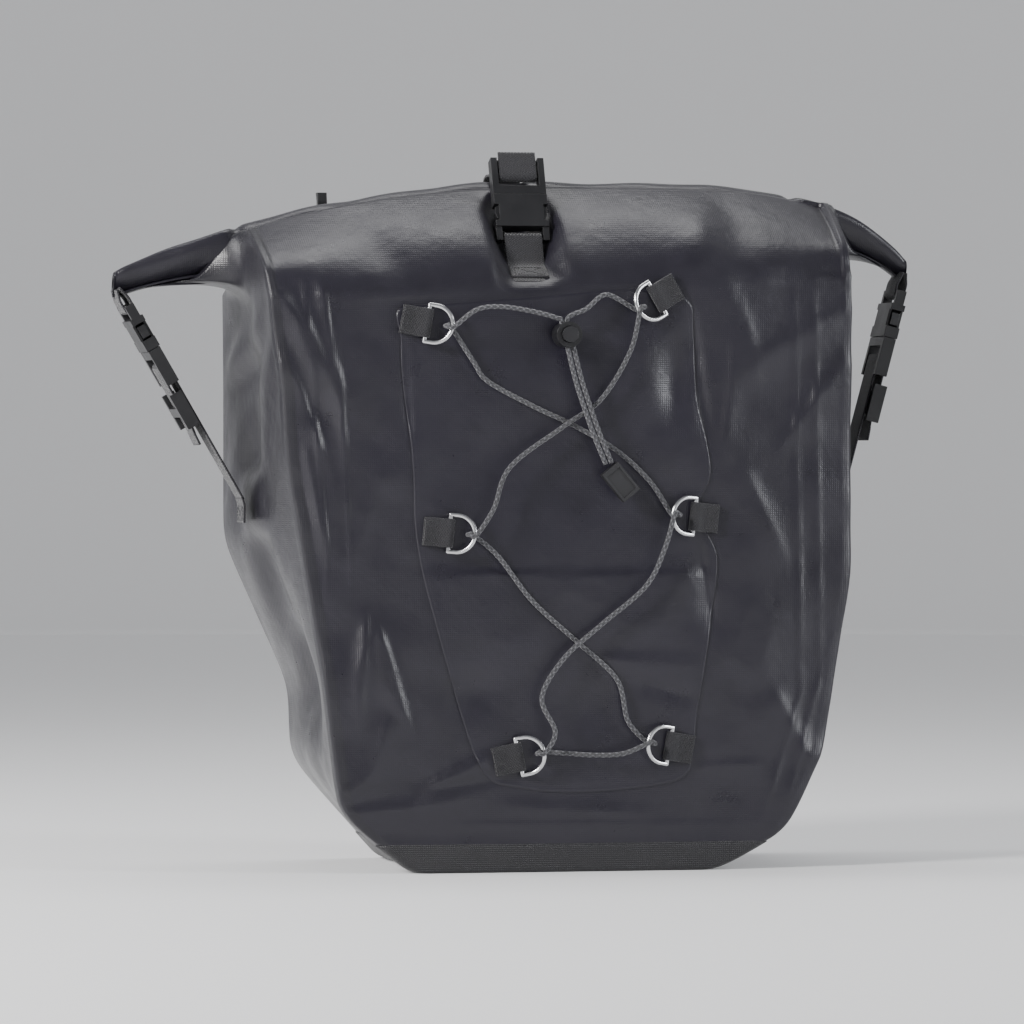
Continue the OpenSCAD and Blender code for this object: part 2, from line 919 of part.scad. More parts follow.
module lower_rail() {
    color("#26262a")
        difference() {
            channel(base_x, lower_z, lower_length);
            screw_holes(rail_y - 1, rail_wall + 2);
        }
}

// A pan-head screw whose head seats at y
module screw(x, y, z) {
    peg_y(x, y, z, screw_head_r, screw_head);
    peg_y(x, board_y - nut_thick - 1, z, screw_r, y - board_y + nut_thick + 1);
}

module back_screws() {
    color("#9a9ca0") {
        for (x = UPPER_SCREWS) screw(x, rail_y + rail_wall, rail_z);
        for (x = LOWER_SCREWS) screw(x, rail_y + rail_wall, lower_z);
        for (x = HANDLE_SCREWS) screw(x, rail_y + 2, handle_z);
    }
}

module back_nut(x, z) {
    difference() {
        translate([x, board_y - nut_thick, z])
            rotate([-90, 0, 0])
                cylinder(r = nut_r, h = nut_thick, $fn = 6);
        peg_y(x, board_y - nut_thick - 1, z, screw_r + 0.05, nut_thick + 2);
    }
}

module back_nuts() {
    color("#9a9ca0") {
        for (x = UPPER_SCREWS) back_nut(x, rail_z);
        for (x = LOWER_SCREWS) back_nut(x, lower_z);
        for (x = HANDLE_SCREWS) back_nut(x, handle_z);
    }
}

// Webbing grip that stands off the back between its two screwed ends
module carry_handle() {
    y = rail_y + 1;
    color("#222226")
        difference() {
            translate([0, 0, handle_z - strap_width / 2])
                linear_extrude(height = strap_width)
                    polygon(ribbon(
                        [
                            [rail_x - handle_half, y], [rail_x - handle_half + 19, y],
                            [rail_x - handle_half + 42, y + handle_rise],
                            [rail_x + handle_half - 42, y + handle_rise],
                            [rail_x + handle_half - 19, y], [rail_x + handle_half, y]
                        ],
                        2
                    ));
            for (x = HANDLE_SCREWS) peg_y(x, rail_y - 1, handle_z, screw_hole_r, 5);
        }
}

// A foot that runs in a channel, with a neck out through the lips
module channel_foot(z, neck_out) {
    inner = rail_height - 2 * rail_wall - 2 * foot_gap;
    neck = rail_height - 2 * rail_lip - 2 * foot_gap;
    low_y = rail_y + rail_wall + foot_gap;
    half = hook_width / 2;
    high_y = rail_y + rail_depth - rail_wall - foot_gap;
    box([-half, low_y, z - inner / 2], [half, high_y, z + inner / 2]);
    box([-half, low_y, z - neck / 2], [half, rail_y + rail_depth + neck_out, z + neck / 2]);
}

module at_hook(side) {
    translate([rail_x + side * hook_spread / 2, 0, 0])
        children();
}

// The room between a hook's cheeks that its latch swings in
module latch_cut() {
    box([-latch_slot / 2, pin_y - 9, tube_z - 19.5], [latch_slot / 2, tube_y + 2, pin_z + 12]);
}

// A J-shaped hook over the rack tube, with cheeks either side of the latch
module hook() {
    bore_r = tube_d / 2;
    outer_r = bore_r + hook_skin;
    wall_y = tube_y - bore_r;
    half = hook_width / 2;
    color("#1b1b1e")
        union() {
            difference() {
                union() {
                    peg_x(tube_y, tube_z, outer_r, hook_width);
                    box([-half, tube_y + bore_r, tube_z - 8], [half, tube_y + outer_r, tube_z]);
                    box([-half, rail_y + rail_depth + foot_gap, rail_z - 13], [half, wall_y, tube_z]);
                    box([-half, pin_y - 4.5, rail_z + rail_height / 2 + 2], [half, wall_y, pin_z + 5]);
                }
                peg_x(tube_y, tube_z, bore_r, hook_width + 2);
                box([-hook_width, wall_y, tube_z - 20], [hook_width, tube_y + bore_r, tube_z]);
                latch_cut();
            }
            peg_x(pin_y, pin_z, pin_r, hook_width - 2);
            channel_foot(rail_z, foot_gap + 1);
        }
}

module hook_left() { at_hook(-1) hook(); }
module hook_right() { at_hook(1) hook(); }

// C-shaped reducer that lines one cheek pair of a hook
module insert() {
    outer_r = tube_d / 2 - 0.05;
    color("#5a5a60")
        difference() {
            peg_x(tube_y, tube_z, outer_r, hook_width);
            peg_x(tube_y, tube_z, insert_tube_d / 2, hook_width + 2);
            box([-hook_width, tube_y - 20, tube_z - 20], [hook_width, tube_y + 20, tube_z]);
            box([-latch_slot / 2, pin_y - 9, tube_z - 1], [latch_slot / 2, pin_y + 5.8, pin_z + 12]);
        }
}

module insert_left() { at_hook(-1) insert(); }
module insert_right() { at_hook(1) insert(); }

// A lever on the hook's pin: a thumb pad above, and a finger that closes the mouth under the tube
module latch() {
    color("#2b2b30")
        translate([latch_shift, 0, 0])
            difference() {
                union() {
                    peg_x(pin_y, pin_z, 3.6, latch_width);
                    bar_x(-latch_width / 2, latch_width)
                        polygon([
                            [pin_y - 2.4, pin_z], [pin_y - 2.4, pin_z - 16.5], [pin_y + 14, pin_z - 16.5],
                            [pin_y + 15.5, pin_z - 12.5], [pin_y + 1.6, pin_z - 11.8], [pin_y + 1.6, pin_z],
                            [pin_y + 2.2, pin_z + 16], [pin_y + 5, pin_z + 21.5], [pin_y - 1.5, pin_z + 21.5],
                            [pin_y - 2.6, pin_z + 16]
                        ]);
                }
                peg_x(pin_y, pin_z, pin_r + 0.08, latch_width + 2);
            }
}

module latch_left() { at_hook(-1) latch(); }
module latch_right() { at_hook(1) latch(); }

module latch_spring() {
    color("#b9bcc0")
        translate([latch_shift + latch_width / 2 + 1.7, 0, 0])
            difference() {
                peg_x(pin_y, pin_z, 3, 2.6);
                peg_x(pin_y, pin_z, pin_r + 0.25, 4);
            }
}

module latch_spring_left() { at_hook(-1) latch_spring(); }
module latch_spring_right() { at_hook(1) latch_spring(); }

// The slider that carries the lower hook along its rail
module lower_slider() {
    color("#26262a")
        translate([base_x, 0, 0])
            union() {
                channel_foot(lower_z, 0.6);
                peg_y(0, rail_y + 4, lower_z, swivel_bore - 0.06, rail_depth + 6);
            }
}

// A swivelling claw that clips over an upright of the rack
module lower_hook() {
    y = rail_y + rail_depth + 0.9;
    claw_y = y + claw_r + claw_skin;
    color("#1b1b1e")
        translate([base_x, 0, 0])
            difference() {
                union() {
                    peg_y(0, y, lower_z, swivel_r, 6);
                    box([0, y, lower_z - 9], [claw_x - claw_r, y + 6, lower_z + 9]);
                    translate([claw_x, claw_y, lower_z - 9]) cylinder(r = claw_r + claw_skin, h = 18);
                }
                peg_y(0, y - 1, lower_z, swivel_bore, 8);
                translate([claw_x, claw_y, lower_z - 10]) cylinder(r = claw_r, h = 20);
                box(
                    [claw_x + 2, claw_y - claw_r + 1.6, lower_z - 10],
                    [claw_x + 20, claw_y + claw_r - 1.6, lower_z + 10]
                );
            }
}

module lower_knob() {
    y = rail_y + rail_depth + 7.2;
    color("#2b2b30")
        translate([base_x, 0, 0])
            difference() {
                union() {
                    peg_y(0, y, lower_z, knob_r, 5);
                    for (a = [0:60:300])
                        peg_y((knob_r - 0.5) * cos(a), y, lower_z + (knob_r - 0.5) * sin(a), 2, 5);
                }
                peg_y(0, y - 1, lower_z, swivel_bore, 4.4);
            }
}

front_panel();
back_panel();
left_gusset();
right_gusset();
bottom_panel();
collar();
roll_top();
roll_stiffener();
bungee_patch();
back_board();
ring_tabs();
ring_top_left();
ring_top_right();
ring_middle_left();
ring_middle_right();
ring_bottom_left();
ring_bottom_right();
bungee_cord();
tail_cord_left();
tail_cord_right();
cord_end();
cord_lock_body();
cord_lock_button();
cord_lock_spring();
top_strap();
top_anchor_strap();
top_buckle_male();
top_buckle_female();
top_prong_left();
top_prong_right();
left_ear_tab();
left_buckle_female();
left_buckle_male();
left_prong_front();
left_prong_back();
left_ladder_lock();
left_side_strap();
right_ear_tab();
right_buckle_female();
right_buckle_male();
right_prong_front();
right_prong_back();
right_ladder_lock();
right_side_strap();
upper_rail();
lower_rail();
back_screws();
back_nuts();
carry_handle();
hook_left();
hook_right();
insert_left();
insert_right();
latch_left();
latch_right();
latch_spring_left();
latch_spring_right();
lower_slider();
lower_hook();
lower_knob();
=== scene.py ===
import json
import math
import bpy
import numpy as np
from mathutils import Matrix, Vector


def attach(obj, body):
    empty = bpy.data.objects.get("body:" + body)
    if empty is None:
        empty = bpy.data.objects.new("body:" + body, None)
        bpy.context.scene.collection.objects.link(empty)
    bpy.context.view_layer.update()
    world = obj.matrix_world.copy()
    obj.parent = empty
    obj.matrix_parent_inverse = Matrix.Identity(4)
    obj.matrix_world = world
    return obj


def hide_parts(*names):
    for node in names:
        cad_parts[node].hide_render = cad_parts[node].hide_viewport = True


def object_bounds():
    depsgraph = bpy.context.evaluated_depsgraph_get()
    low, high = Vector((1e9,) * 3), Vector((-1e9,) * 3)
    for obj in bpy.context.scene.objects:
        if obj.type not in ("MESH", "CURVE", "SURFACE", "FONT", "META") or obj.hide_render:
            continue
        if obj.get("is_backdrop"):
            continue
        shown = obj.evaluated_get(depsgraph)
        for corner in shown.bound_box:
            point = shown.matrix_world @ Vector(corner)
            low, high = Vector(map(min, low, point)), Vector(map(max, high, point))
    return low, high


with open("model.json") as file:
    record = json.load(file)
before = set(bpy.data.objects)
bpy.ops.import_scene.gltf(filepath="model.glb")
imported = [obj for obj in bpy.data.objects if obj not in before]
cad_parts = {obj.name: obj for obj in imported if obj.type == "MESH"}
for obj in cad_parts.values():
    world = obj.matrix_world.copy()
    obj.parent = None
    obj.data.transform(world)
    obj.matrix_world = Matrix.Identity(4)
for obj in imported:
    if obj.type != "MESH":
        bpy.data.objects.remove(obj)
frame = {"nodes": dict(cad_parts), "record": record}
cad_bounds = [[float(c) for c in v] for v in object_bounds()]
scene = bpy.context.scene
MM = 0.001
NODES = frame["nodes"]

# ---------------------------------------------------------------- numbers of the CAD model, in mm
LEFT_X, RIGHT_X, FRONT_Y, BACK_Y = -174.0, 202.0, -86.0, 79.0
ROLL_Y, PATCH = -4.0, 1.2
RING_Y, RING_TILT, RING_REACH = FRONT_Y - PATCH - 3.3, 20.0, 16.0
RINGS = {"tl": (-73, 341, 10), "tr": (73, 357, 150), "ml": (-59, 211, 5),
         "mr": (97, 221, 186), "bl": (-15, 72, -12), "br": (81, 78, 190)}
LOCK = (14.0, -99.0, 334.0)
TAIL = np.array([0.237, 0.0, -0.972])
TAIL_SIDE = np.array([0.972, 0.0, 0.237])
STRAND_GAP, LOCK_R, CORD_D, TURN_R = 3.7, 8.0, 3.0, 4.4
LEFT_ARC = [(8, -99, 344), (-7, -99, 348), (-28, -100, 351), (-44, -101, 349)]
TL_MR = [(-44, -92, 317), (-35, -92, 305), (-7, -92, 290), (21, -92, 277), (47, -92, 262), (68, -92, 243)]
MR_BL = [(76, -100, 202), (64, -99, 178), (36, -97, 154), (12, -97, 133), (-2, -98, 109), (6, -100, 88)]
BL_BR = [(16, -93, 74), (33, -96, 73), (50, -99, 74)]
BR_ML = [(54, -92, 94), (47, -91, 120), (21, -91, 144), (-7, -92, 169), (-28, -92, 196)]
ML_TR = [(-33, -100, 226), (-22, -98, 252), (12, -96, 277), (36, -96, 294), (54, -99, 324)]
RIGHT_ARC = [(44, -93, 358), (36, -96, 358), (26, -99, 350)]
TAIL_RUN = [(21, -99, 306), (27, -100, 287), (33, -101, 270), (40, -100, 254)]
TOP = (-4.0, -50.0, 393.0)
TOP_LEAN = math.radians(22)
STRAP_T, LOOP_R = 1.5, 1.8 + 0.3 + 0.75
ROLL_HEIGHT, EAR_LOSS = 36, 16
FEMALE_BAR, MALE_BAR, MALE_END, FEMALE_START, TAIL_LENGTH = 2.0, 44.75, 54.0, 5.0, 104.0


def crest(x):
    """Height of the roll's top along the arch."""
    x = np.asarray(x, float)
    left = 436 - 60 * np.clip((40 - x) / 297, 0, None) ** 2.3
    right = 436 - 50 * np.clip((x - 40) / 217, 0, None) ** 4.4
    return np.where(x < 40, left, right)


def roll_at(x):
    """The roll's height, which falls along each ear."""
    over = np.clip(np.abs(np.asarray(x, float)) - 180, 0, None) / 77
    return ROLL_HEIGHT - EAR_LOSS * over


def under_roll(x):
    """Height of the roll's underside."""
    return crest(x) - roll_at(x)


def smooth(t):
    t = np.clip(t, 0, 1)
    return t * t * (3 - 2 * t)


# ---------------------------------------------------------------- camera
low, high = (Vector(v) for v in cad_bounds)
centre = (low + high) / 2
azimuth, elevation, distance = math.radians(-12), math.radians(0.5), 4.0
camera = bpy.data.objects.new("camera", bpy.data.cameras.new("camera"))
scene.collection.objects.link(camera)
camera.location = centre + distance * Vector((
    math.sin(azimuth) * math.cos(elevation), -math.cos(azimuth) * math.cos(elevation), math.sin(elevation)))
camera.rotation_euler = (centre - camera.location).to_track_quat("-Z", "Y").to_euler()
camera.data.sensor_width = 36
camera.data.lens = 36 * distance / (0.52 / 0.80)
scene.camera = camera


# ---------------------------------------------------------------- material graphs
def node(tree, kind, inputs=None, **settings):
    n = tree.nodes.new(kind)
    for key, value in settings.items():
        setattr(n, key, value)
    for key, value in (inputs or {}).items():
        if isinstance(value, bpy.types.NodeSocket):
            tree.links.new(value, n.inputs[key])
        else:
            n.inputs[key].default_value = value
    return n


def graph(name):
    m = bpy.data.materials.new(name)
    m.use_nodes = True
    t = m.node_tree
    t.nodes.clear()
    out = t.nodes.new("ShaderNodeOutputMaterial")
    shader = t.nodes.new("ShaderNodeBsdfPrincipled")
    t.links.new(shader.outputs[0], out.inputs[0])
    return m, t, shader


def maths(t, operation, a, b=0.0, c=0.0):
    return node(t, "ShaderNodeMath", {0: a, 1: b, 2: c}, operation=operation).outputs[0]


def tint(t, factor, dark, light):
    return node(t, "ShaderNodeMix", {"Factor": factor, "A": (*dark, 1), "B": (*light, 1)},
                data_type="RGBA").outputs["Result"]


def noise(t, where, scale, detail=3.0, rough=0.55):
    return node(t, "ShaderNodeTexNoise", {"Vector": where, "Scale": scale, "Detail": detail,
                                          "Roughness": rough}).outputs["Fac"]


def bump(t, height, depth, strength=1.0, below=None):
    inputs = {"Height": height, "Distance": depth, "Strength": strength}
    if below is not None:
        inputs["Normal"] = below
    return node(t, "ShaderNodeBump", inputs).outputs[0]


def remap(t, value, a, b, c, d):
    return node(t, "ShaderNodeMapRange", {"Value": value, "From Min": a, "From Max": b, "To Min": c,
                                          "To Max": d}).outputs["Result"]


def setp(shader, t, **inputs):
    for key, value in inputs.items():
        key = key.replace("_", " ")
        if isinstance(value, bpy.types.NodeSocket):
            t.links.new(value, shader.inputs[key])
        else:
            shader.inputs[key].default_value = value


def tarpaulin(name, colour, rough, weave=0.00006):
    """Coated cloth: faint weave under a satin skin, clouded, with specks of wear."""
    m, t, s = graph(name)
    where = node(t, "ShaderNodeTexCoord").outputs["Object"]
    broad = noise(t, where, 7.0, 4.0)
    patchy = noise(t, where, 34.0, 5.0, 0.65)
    grain = noise(t, where, 1500.0, 2.0)
    crumple = noise(t, where, 85.0, 3.0, 0.5)
    warp = node(t, "ShaderNodeTexWave", {"Vector": where, "Scale": 240.0, "Distortion": 0.6,
                                         "Detail": 1.0}, bands_direction="X").outputs["Fac"]
    weft = node(t, "ShaderNodeTexWave", {"Vector": where, "Scale": 240.0, "Distortion": 0.6,
                                         "Detail": 1.0}, bands_direction="Z").outputs["Fac"]
    scuff = remap(t, noise(t, where, 26.0, 3.0, 0.5), 0.58, 0.80, 0.0, 0.35)
    tone = maths(t, "ADD", remap(t, broad, 0.3, 0.7, 0.0, 0.6), remap(t, patchy, 0.3, 0.7, 0.0, 0.4))
    base = tint(t, tone, [c * 0.86 for c in colour], [c * 1.14 for c in colour])
    worn = tint(t, scuff, (0, 0, 0), [c * 1.5 + 0.004 for c in colour])
    mixed = node(t, "ShaderNodeMix", {"Factor": scuff, "A": base, "B": worn}, data_type="RGBA").outputs["Result"]
    cloth = maths(t, "MULTIPLY", warp, weft)
    n = bump(t, cloth, weave)
    n = bump(t, grain, 0.00010, 0.7, n)
    n = bump(t, crumple, 0.0012, 0.45, n)
    setp(s, t, Base_Color=mixed, Roughness=remap(t, patchy, 0.3, 0.7, rough - 0.05, rough + 0.09), Normal=n,
         Sheen_Weight=0.05, Sheen_Roughness=0.5, Specular_IOR_Level=0.5)
    return m


def webbing(name, colour, pick=0.0016):
    """Woven tape: ribs across it every "pick" metres, set off between its lanes, with painted shade in the hollows of
    the weave.
    """
    m, t, s = graph(name)
    uv = node(t, "ShaderNodeSeparateXYZ", {0: node(t, "ShaderNodeTexCoord").outputs["UV"]})
    u, v = uv.outputs[0], uv.outputs[1]
    where = node(t, "ShaderNodeTexCoord").outputs["Object"]
    lanes = maths(t, "SINE", maths(t, "MULTIPLY", v, 2 * math.pi / 0.0021))
    shift = maths(t, "MULTIPLY", maths(t, "SIGN", lanes), 0.25)
    ribs = maths(t, "SINE", maths(t, "MULTIPLY", maths(t, "ADD", maths(t, "DIVIDE", u, pick), shift), 2 * math.pi))
    height = maths(t, "ADD", maths(t, "MULTIPLY", ribs, 0.5), maths(t, "MULTIPLY", maths(t, "ABSOLUTE", lanes), 0.6))
    fuzz = noise(t, where, 2600.0, 3.0, 0.7)
    # painted shade: the colour darkens where the weave lies low and lightens on the ribs, over a random tone
    tone = maths(t, "ADD", remap(t, height, -0.5, 1.1, 0.0, 0.7), remap(t, noise(t, where, 40.0), 0.3, 0.7, 0, 0.3))
    setp(s, t, Base_Color=tint(t, tone, [c * 0.55 for c in colour], [c * 1.35 for c in colour]),
         Roughness=remap(t, fuzz, 0.3, 0.7, 0.62, 0.8), Normal=bump(t, fuzz, 0.0001, 0.5, bump(t, height, 0.0003)),
         Sheen_Weight=0.3, Sheen_Roughness=0.4)
    return m


def braid(name, colour, fleck):
    """Braided cord: two crossing sets of strands with paler flecks where they meet, and painted shade in its grooves.
    """
    m, t, s = graph(name)
    uv = node(t, "ShaderNodeSeparateXYZ", {0: node(t, "ShaderNodeTexCoord").outputs["UV"]})
    along = maths(t, "DIVIDE", uv.outputs[0], 0.0042)
    turn = maths(t, "MULTIPLY", uv.outputs[1], 4.0)
    one = maths(t, "SINE", maths(t, "MULTIPLY", maths(t, "ADD", along, turn), 2 * math.pi))
    two = maths(t, "SINE", maths(t, "MULTIPLY", maths(t, "SUBTRACT", along, turn), 2 * math.pi))
    height = maths(t, "MAXIMUM", one, two)
    light = maths(t, "GREATER_THAN", maths(t, "MULTIPLY", one, two), 0.25)
    where = node(t, "ShaderNodeTexCoord").outputs["Object"]
    fuzz = noise(t, where, 3000.0, 2.0)
    base = tint(t, light, colour, fleck)
    # painted shade: the colour is darkened where the strands lie low, in the grooves of the braid
    shade = tint(t, remap(t, height, -0.2, 0.9, 0.0, 1.0), (0.35, 0.35, 0.35), (1, 1, 1))
    mixed = node(t, "ShaderNodeMix", {"Factor": 1.0, "A": base, "B": shade}, data_type="RGBA",
                 blend_type="MULTIPLY").outputs["Result"]
    setp(s, t, Base_Color=mixed, Roughness=remap(t, fuzz, 0.3, 0.7, 0.55, 0.75), Sheen_Weight=0.3,
         Normal=bump(t, fuzz, 0.0001, 0.5, bump(t, height, 0.00035)))
    return m


def moulded(name, colour, rough):
    """Moulded plastic with rounded edges, fine grain and rubbed spots."""
    m, t, s = graph(name)
    where = node(t, "ShaderNodeTexCoord").outputs["Object"]
    edge = node(t, "ShaderNodeBevel", {"Radius": 0.0005}, samples=4).outputs[0]
    fine = noise(t, where, 2200.0, 2.0)
    wide = noise(t, where, 55.0, 4.0)
    rub = remap(t, noise(t, where, 240.0, 6.0, 0.7), 0.58, 0.75, 0.0, 0.3)
    base = tint(t, remap(t, wide, 0.3, 0.7, 0, 1), [c * 0.88 for c in colour], [c * 1.12 for c in colour])
    worn = node(t, "ShaderNodeMix", {"Factor": rub, "A": base, "B": (*[c * 1.7 + 0.012 for c in colour], 1)},
                data_type="RGBA").outputs["Result"]
    setp(s, t, Base_Color=worn, Roughness=remap(t, wide, 0.3, 0.7, rough - 0.05, rough + 0.07),
         Normal=bump(t, fine, 0.00006, 0.8, edge))
    return m


def plated(name, colour, rough):
    """Bright plated steel, clouded and finely scratched."""
    m, t, s = graph(name)
    where = node(t, "ShaderNodeTexCoord").outputs["Object"]
    edge = node(t, "ShaderNodeBevel", {"Radius": 0.0004}, samples=4).outputs[0]
    cloud = noise(t, where, 160.0, 4.0)
    scratch = noise(t, node(t, "ShaderNodeMapping", {"Vector": where, "Scale": (1, 1, 14)}).outputs[0], 500.0, 3.0)
    setp(s, t, Base_Color=tint(t, remap(t, cloud, 0.3, 0.7, 0, 1), [c * 0.9 for c in colour], colour), Metallic=1.0,
         Roughness=remap(t, cloud, 0.3, 0.7, rough - 0.04, rough + 0.1), Normal=bump(t, scratch, 0.00003, 0.6, edge))
    return m


MAT = {
    "tarpaulin": tarpaulin("tarpaulin_front", (0.0118, 0.0104, 0.0172), 0.31),
    # painted shade: tarpaulin_side is the front's cloth made darker, for every face of the shell but the front's
    "tarpaulin_side": tarpaulin("tarpaulin_side", (0.0108, 0.0099, 0.0148), 0.31),
    "tarpaulin_base": tarpaulin("tarpaulin_base", (0.0095, 0.0092, 0.0115), 0.42, 0.0003),
    "patch": tarpaulin("tarpaulin_patch", (0.0125, 0.0110, 0.0185), 0.30),
    "webbing": webbing("woven_webbing", (0.012, 0.0115, 0.0150)),
    "stitch": webbing("stitch_thread", (0.022, 0.022, 0.025), 0.0008),
    "bungee": braid("bungee_braid", (0.060, 0.060, 0.068), (0.14, 0.14, 0.155)),
    "buckle_plastic": moulded("buckle_acetal", (0.012, 0.012, 0.0135), 0.36),
    "rail_plastic": moulded("rail_nylon", (0.020, 0.020, 0.022), 0.42),
    "hook_plastic": moulded("hook_nylon", (0.013, 0.013, 0.0145), 0.36),
    "insert_plastic": moulded("insert_nylon", (0.085, 0.085, 0.092), 0.45),
    "stiffener_sheet": moulded("stiffener_pe", (0.02, 0.02, 0.02), 0.5),
    "ring_steel": plated("ring_nickel", (0.66, 0.66, 0.67), 0.17),
    "screw_steel": plated("screw_zinc", (0.52, 0.52, 0.53), 0.3),
}


# ---------------------------------------------------------------- mesh helpers
def piece(name, verts, faces, material, uvs=None, stands_for=()):
    """A mesh piece from points in mm, riding on the bag."""
    mesh = bpy.data.meshes.new(name)
    mesh.from_pydata((np.asarray(verts, float) * MM).tolist(), [], faces)
    if uvs is not None:
        layer = mesh.uv_layers.new(name="UVMap")
        index = np.zeros(len(mesh.loops), np.int32)
        mesh.loops.foreach_get("vertex_index", index)
        layer.data.foreach_set("uv", (np.asarray(uvs, float) * MM)[index].astype(np.float32).ravel())
    mesh.materials.append(MAT[material])
    mesh.polygons.foreach_set("use_smooth", [True] * len(mesh.polygons))
    mesh.update()
    obj = bpy.data.objects.new(name, mesh)
    scene.collection.objects.link(obj)
    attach(obj, "bag")
    if stands_for:
        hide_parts(*stands_for)
    return obj


def grid_faces(rows, columns):
    """Quads of a grid of points that closes round its columns."""
    faces = []
    for i in range(rows - 1):
        for k in range(columns):
            n = (k + 1) % columns
            faces.append((i * columns + k, i * columns + n, (i + 1) * columns + n, (i + 1) * columns + k))
    return faces


def spline(points, step=1.5):
    """Points every "step" mm along a Catmull-Rom curve through the given ones."""
    p = np.asarray(points, float)
    p = np.vstack([2 * p[0] - p[1], p, 2 * p[-1] - p[-2]])
    out = []
    for i in range(1, len(p) - 2):
        a, b, c, d = p[i - 1:i + 3]
        count = max(2, int(np.linalg.norm(c - b) / step))
        for k in range(count):
            t = k / count
            out.append(0.5 * (2 * b + (c - a) * t + (2 * a - 5 * b + 4 * c - d) * t * t
                              + (3 * b - a - 3 * c + d) * t ** 3))
    out.append(p[-2])
    return np.array(out)


def frames(path, hint):
    """Tangents and two normals along a path, carried on without twist."""
    tangent = np.gradient(path, axis=0)
    tangent /= np.linalg.norm(tangent, axis=1)[:, None]
    sides, side = [], np.asarray(hint, float)
    for t in tangent:
        side = side - t * (side @ t)
        side = side / np.linalg.norm(side)
        sides.append(side)
    sides = np.array(sides)
    return tangent, sides, np.cross(tangent, sides)


def arc_length(path):
    return np.concatenate([[0], np.cumsum(np.linalg.norm(np.diff(path, axis=0), axis=1))])


def strap(name, path, across, width, thick=STRAP_T, stands_for=(), step=1.5):
    """A flat woven strap along a path, with rounded selvedges."""
    path = spline(path, step)
    _, side, up = frames(path, across)
    half, t = width / 2, thick / 2
    ring = []
    for a in np.linspace(-half + t, half - t, 9):
        ring.append((a, t))
    for a in (60, 20, -20, -60):
        ring.append((half - t + t * math.cos(math.radians(a)), t * math.sin(math.radians(a))))
    for a in np.linspace(half - t, -half + t, 9):
        ring.append((a, -t))
    for a in (240, 200, 160, 120):
        ring.append((-half + t + t * math.cos(math.radians(a)), t * math.sin(math.radians(a))))
    ring = np.array(ring)
    verts = path[:, None, :] + ring[None, :, :1] * side[:, None, :] + ring[None, :, 1:] * up[:, None, :]
    rows, columns = verts.shape[:2]
    faces = grid_faces(rows, columns)
    faces.append(tuple(range(columns - 1, -1, -1)))
    faces.append(tuple((rows - 1) * columns + k for k in range(columns)))
    uv = np.stack([np.repeat(arc_length(path), columns), np.tile(ring[:, 0], rows)], 1)
    return piece(name, verts.reshape(-1, 3), faces, "webbing", uvs=uv, stands_for=stands_for)


def rope(name, path, stands_for, sides=14):
    """A round braided cord along a path."""
    _, side, up = frames(path, (0, 1, 0))
    angle = np.arange(sides) * 2 * math.pi / sides
    r = CORD_D / 2
    verts = (path[:, None, :] + r * np.cos(angle)[None, :, None] * side[:, None, :]
             + r * np.sin(angle)[None, :, None] * up[:, None, :])
    rows = len(path)
    faces = grid_faces(rows, sides)
    faces.append(tuple(range(sides - 1, -1, -1)))
    faces.append(tuple((rows - 1) * sides + k for k in range(sides)))
    uv = np.stack([np.repeat(arc_length(path), sides), np.tile(np.arange(sides) / sides / MM, rows)], 1)
    return piece(name, verts.reshape(-1, 3), faces, "bungee", uvs=uv, stands_for=stands_for)


# ---------------------------------------------------------------- cords
def strand(s, side):
    """A point of a cord strand, s below the lock's middle along its slide."""
    return tuple(np.array(LOCK) + TAIL * s + TAIL_SIDE * side * STRAND_GAP / 2)


def bow(ring):
    """The middle of a ring's far bow, where the cord turns."""
    x, z, a = ring
    a, tilt = math.radians(a), math.radians(RING_TILT)
    return np.array([x + RING_REACH * math.cos(tilt) * math.cos(a), RING_Y - RING_REACH * math.sin(tilt),
                     z - RING_REACH * math.cos(tilt) * math.sin(a)])


def ring_turn(ring, first):
    """The half turn of the cord round a ring's wire; first is the side it comes in on."""
    a = math.radians(ring[2])
    return [tuple(bow(ring) + TURN_R * np.array([-math.sin(k) * math.cos(a), first * math.cos(k),
                                                 math.sin(k) * math.sin(a)]))
            for k in np.radians([0, 45, 90, 135, 180])]


route = ([strand(LOCK_R, -1), strand(-LOCK_R - 1, -1)] + LEFT_ARC + ring_turn(RINGS["tl"], -1) + TL_MR
         + ring_turn(RINGS["mr"], 1) + MR_BL + ring_turn(RINGS["bl"], -1) + BL_BR + ring_turn(RINGS["br"], -1)
         + BR_ML + ring_turn(RINGS["ml"], 1) + ML_TR + ring_turn(RINGS["tr"], -1) + RIGHT_ARC
         + [strand(-LOCK_R - 1, 1), strand(LOCK_R, 1)])
rope("bungee", spline(route, 0.9), ("bungee_cord",))

for word, side in (("left", -1), ("right", 1)):
    run = [strand(LOCK_R, side)] + [(x + side * STRAND_GAP / 2, y, z + side * 0.4) for x, y, z in TAIL_RUN]
    line = spline(run, 1.0)
    tail = rope("tail_" + word, line, ("tail_cord_" + word,))

# ---------------------------------------------------------------- materials of the carried-over parts
for entry in frame["record"]["subparts"]:
    obj = NODES[entry["node"]]
    material = MAT.get(entry["material_slot"])
    for holder in obj.material_slots:
        holder.material = material
NODES["cord_end"].material_slots[0].material = moulded("cord_end_rubber", (0.016, 0.016, 0.018), 0.5)
NODES["cord_lock_button"].material_slots[0].material = moulded("lock_button_gloss", (0.02, 0.02, 0.022), 0.22)


# ---------------------------------------------------------------- bag shell: shape functions in mm
def table(zs, xs, sigma):
    """An outline given by corners, rounded by a blur of "sigma" mm."""
    z = np.arange(-60.0, 520.0)
    kernel = np.exp(-0.5 * (np.arange(-40, 41) / sigma) ** 2)
    x = np.convolve(np.pad(np.interp(z, zs, xs), 40, mode="edge"), kernel / kernel.sum(), mode="valid")
    return z, x


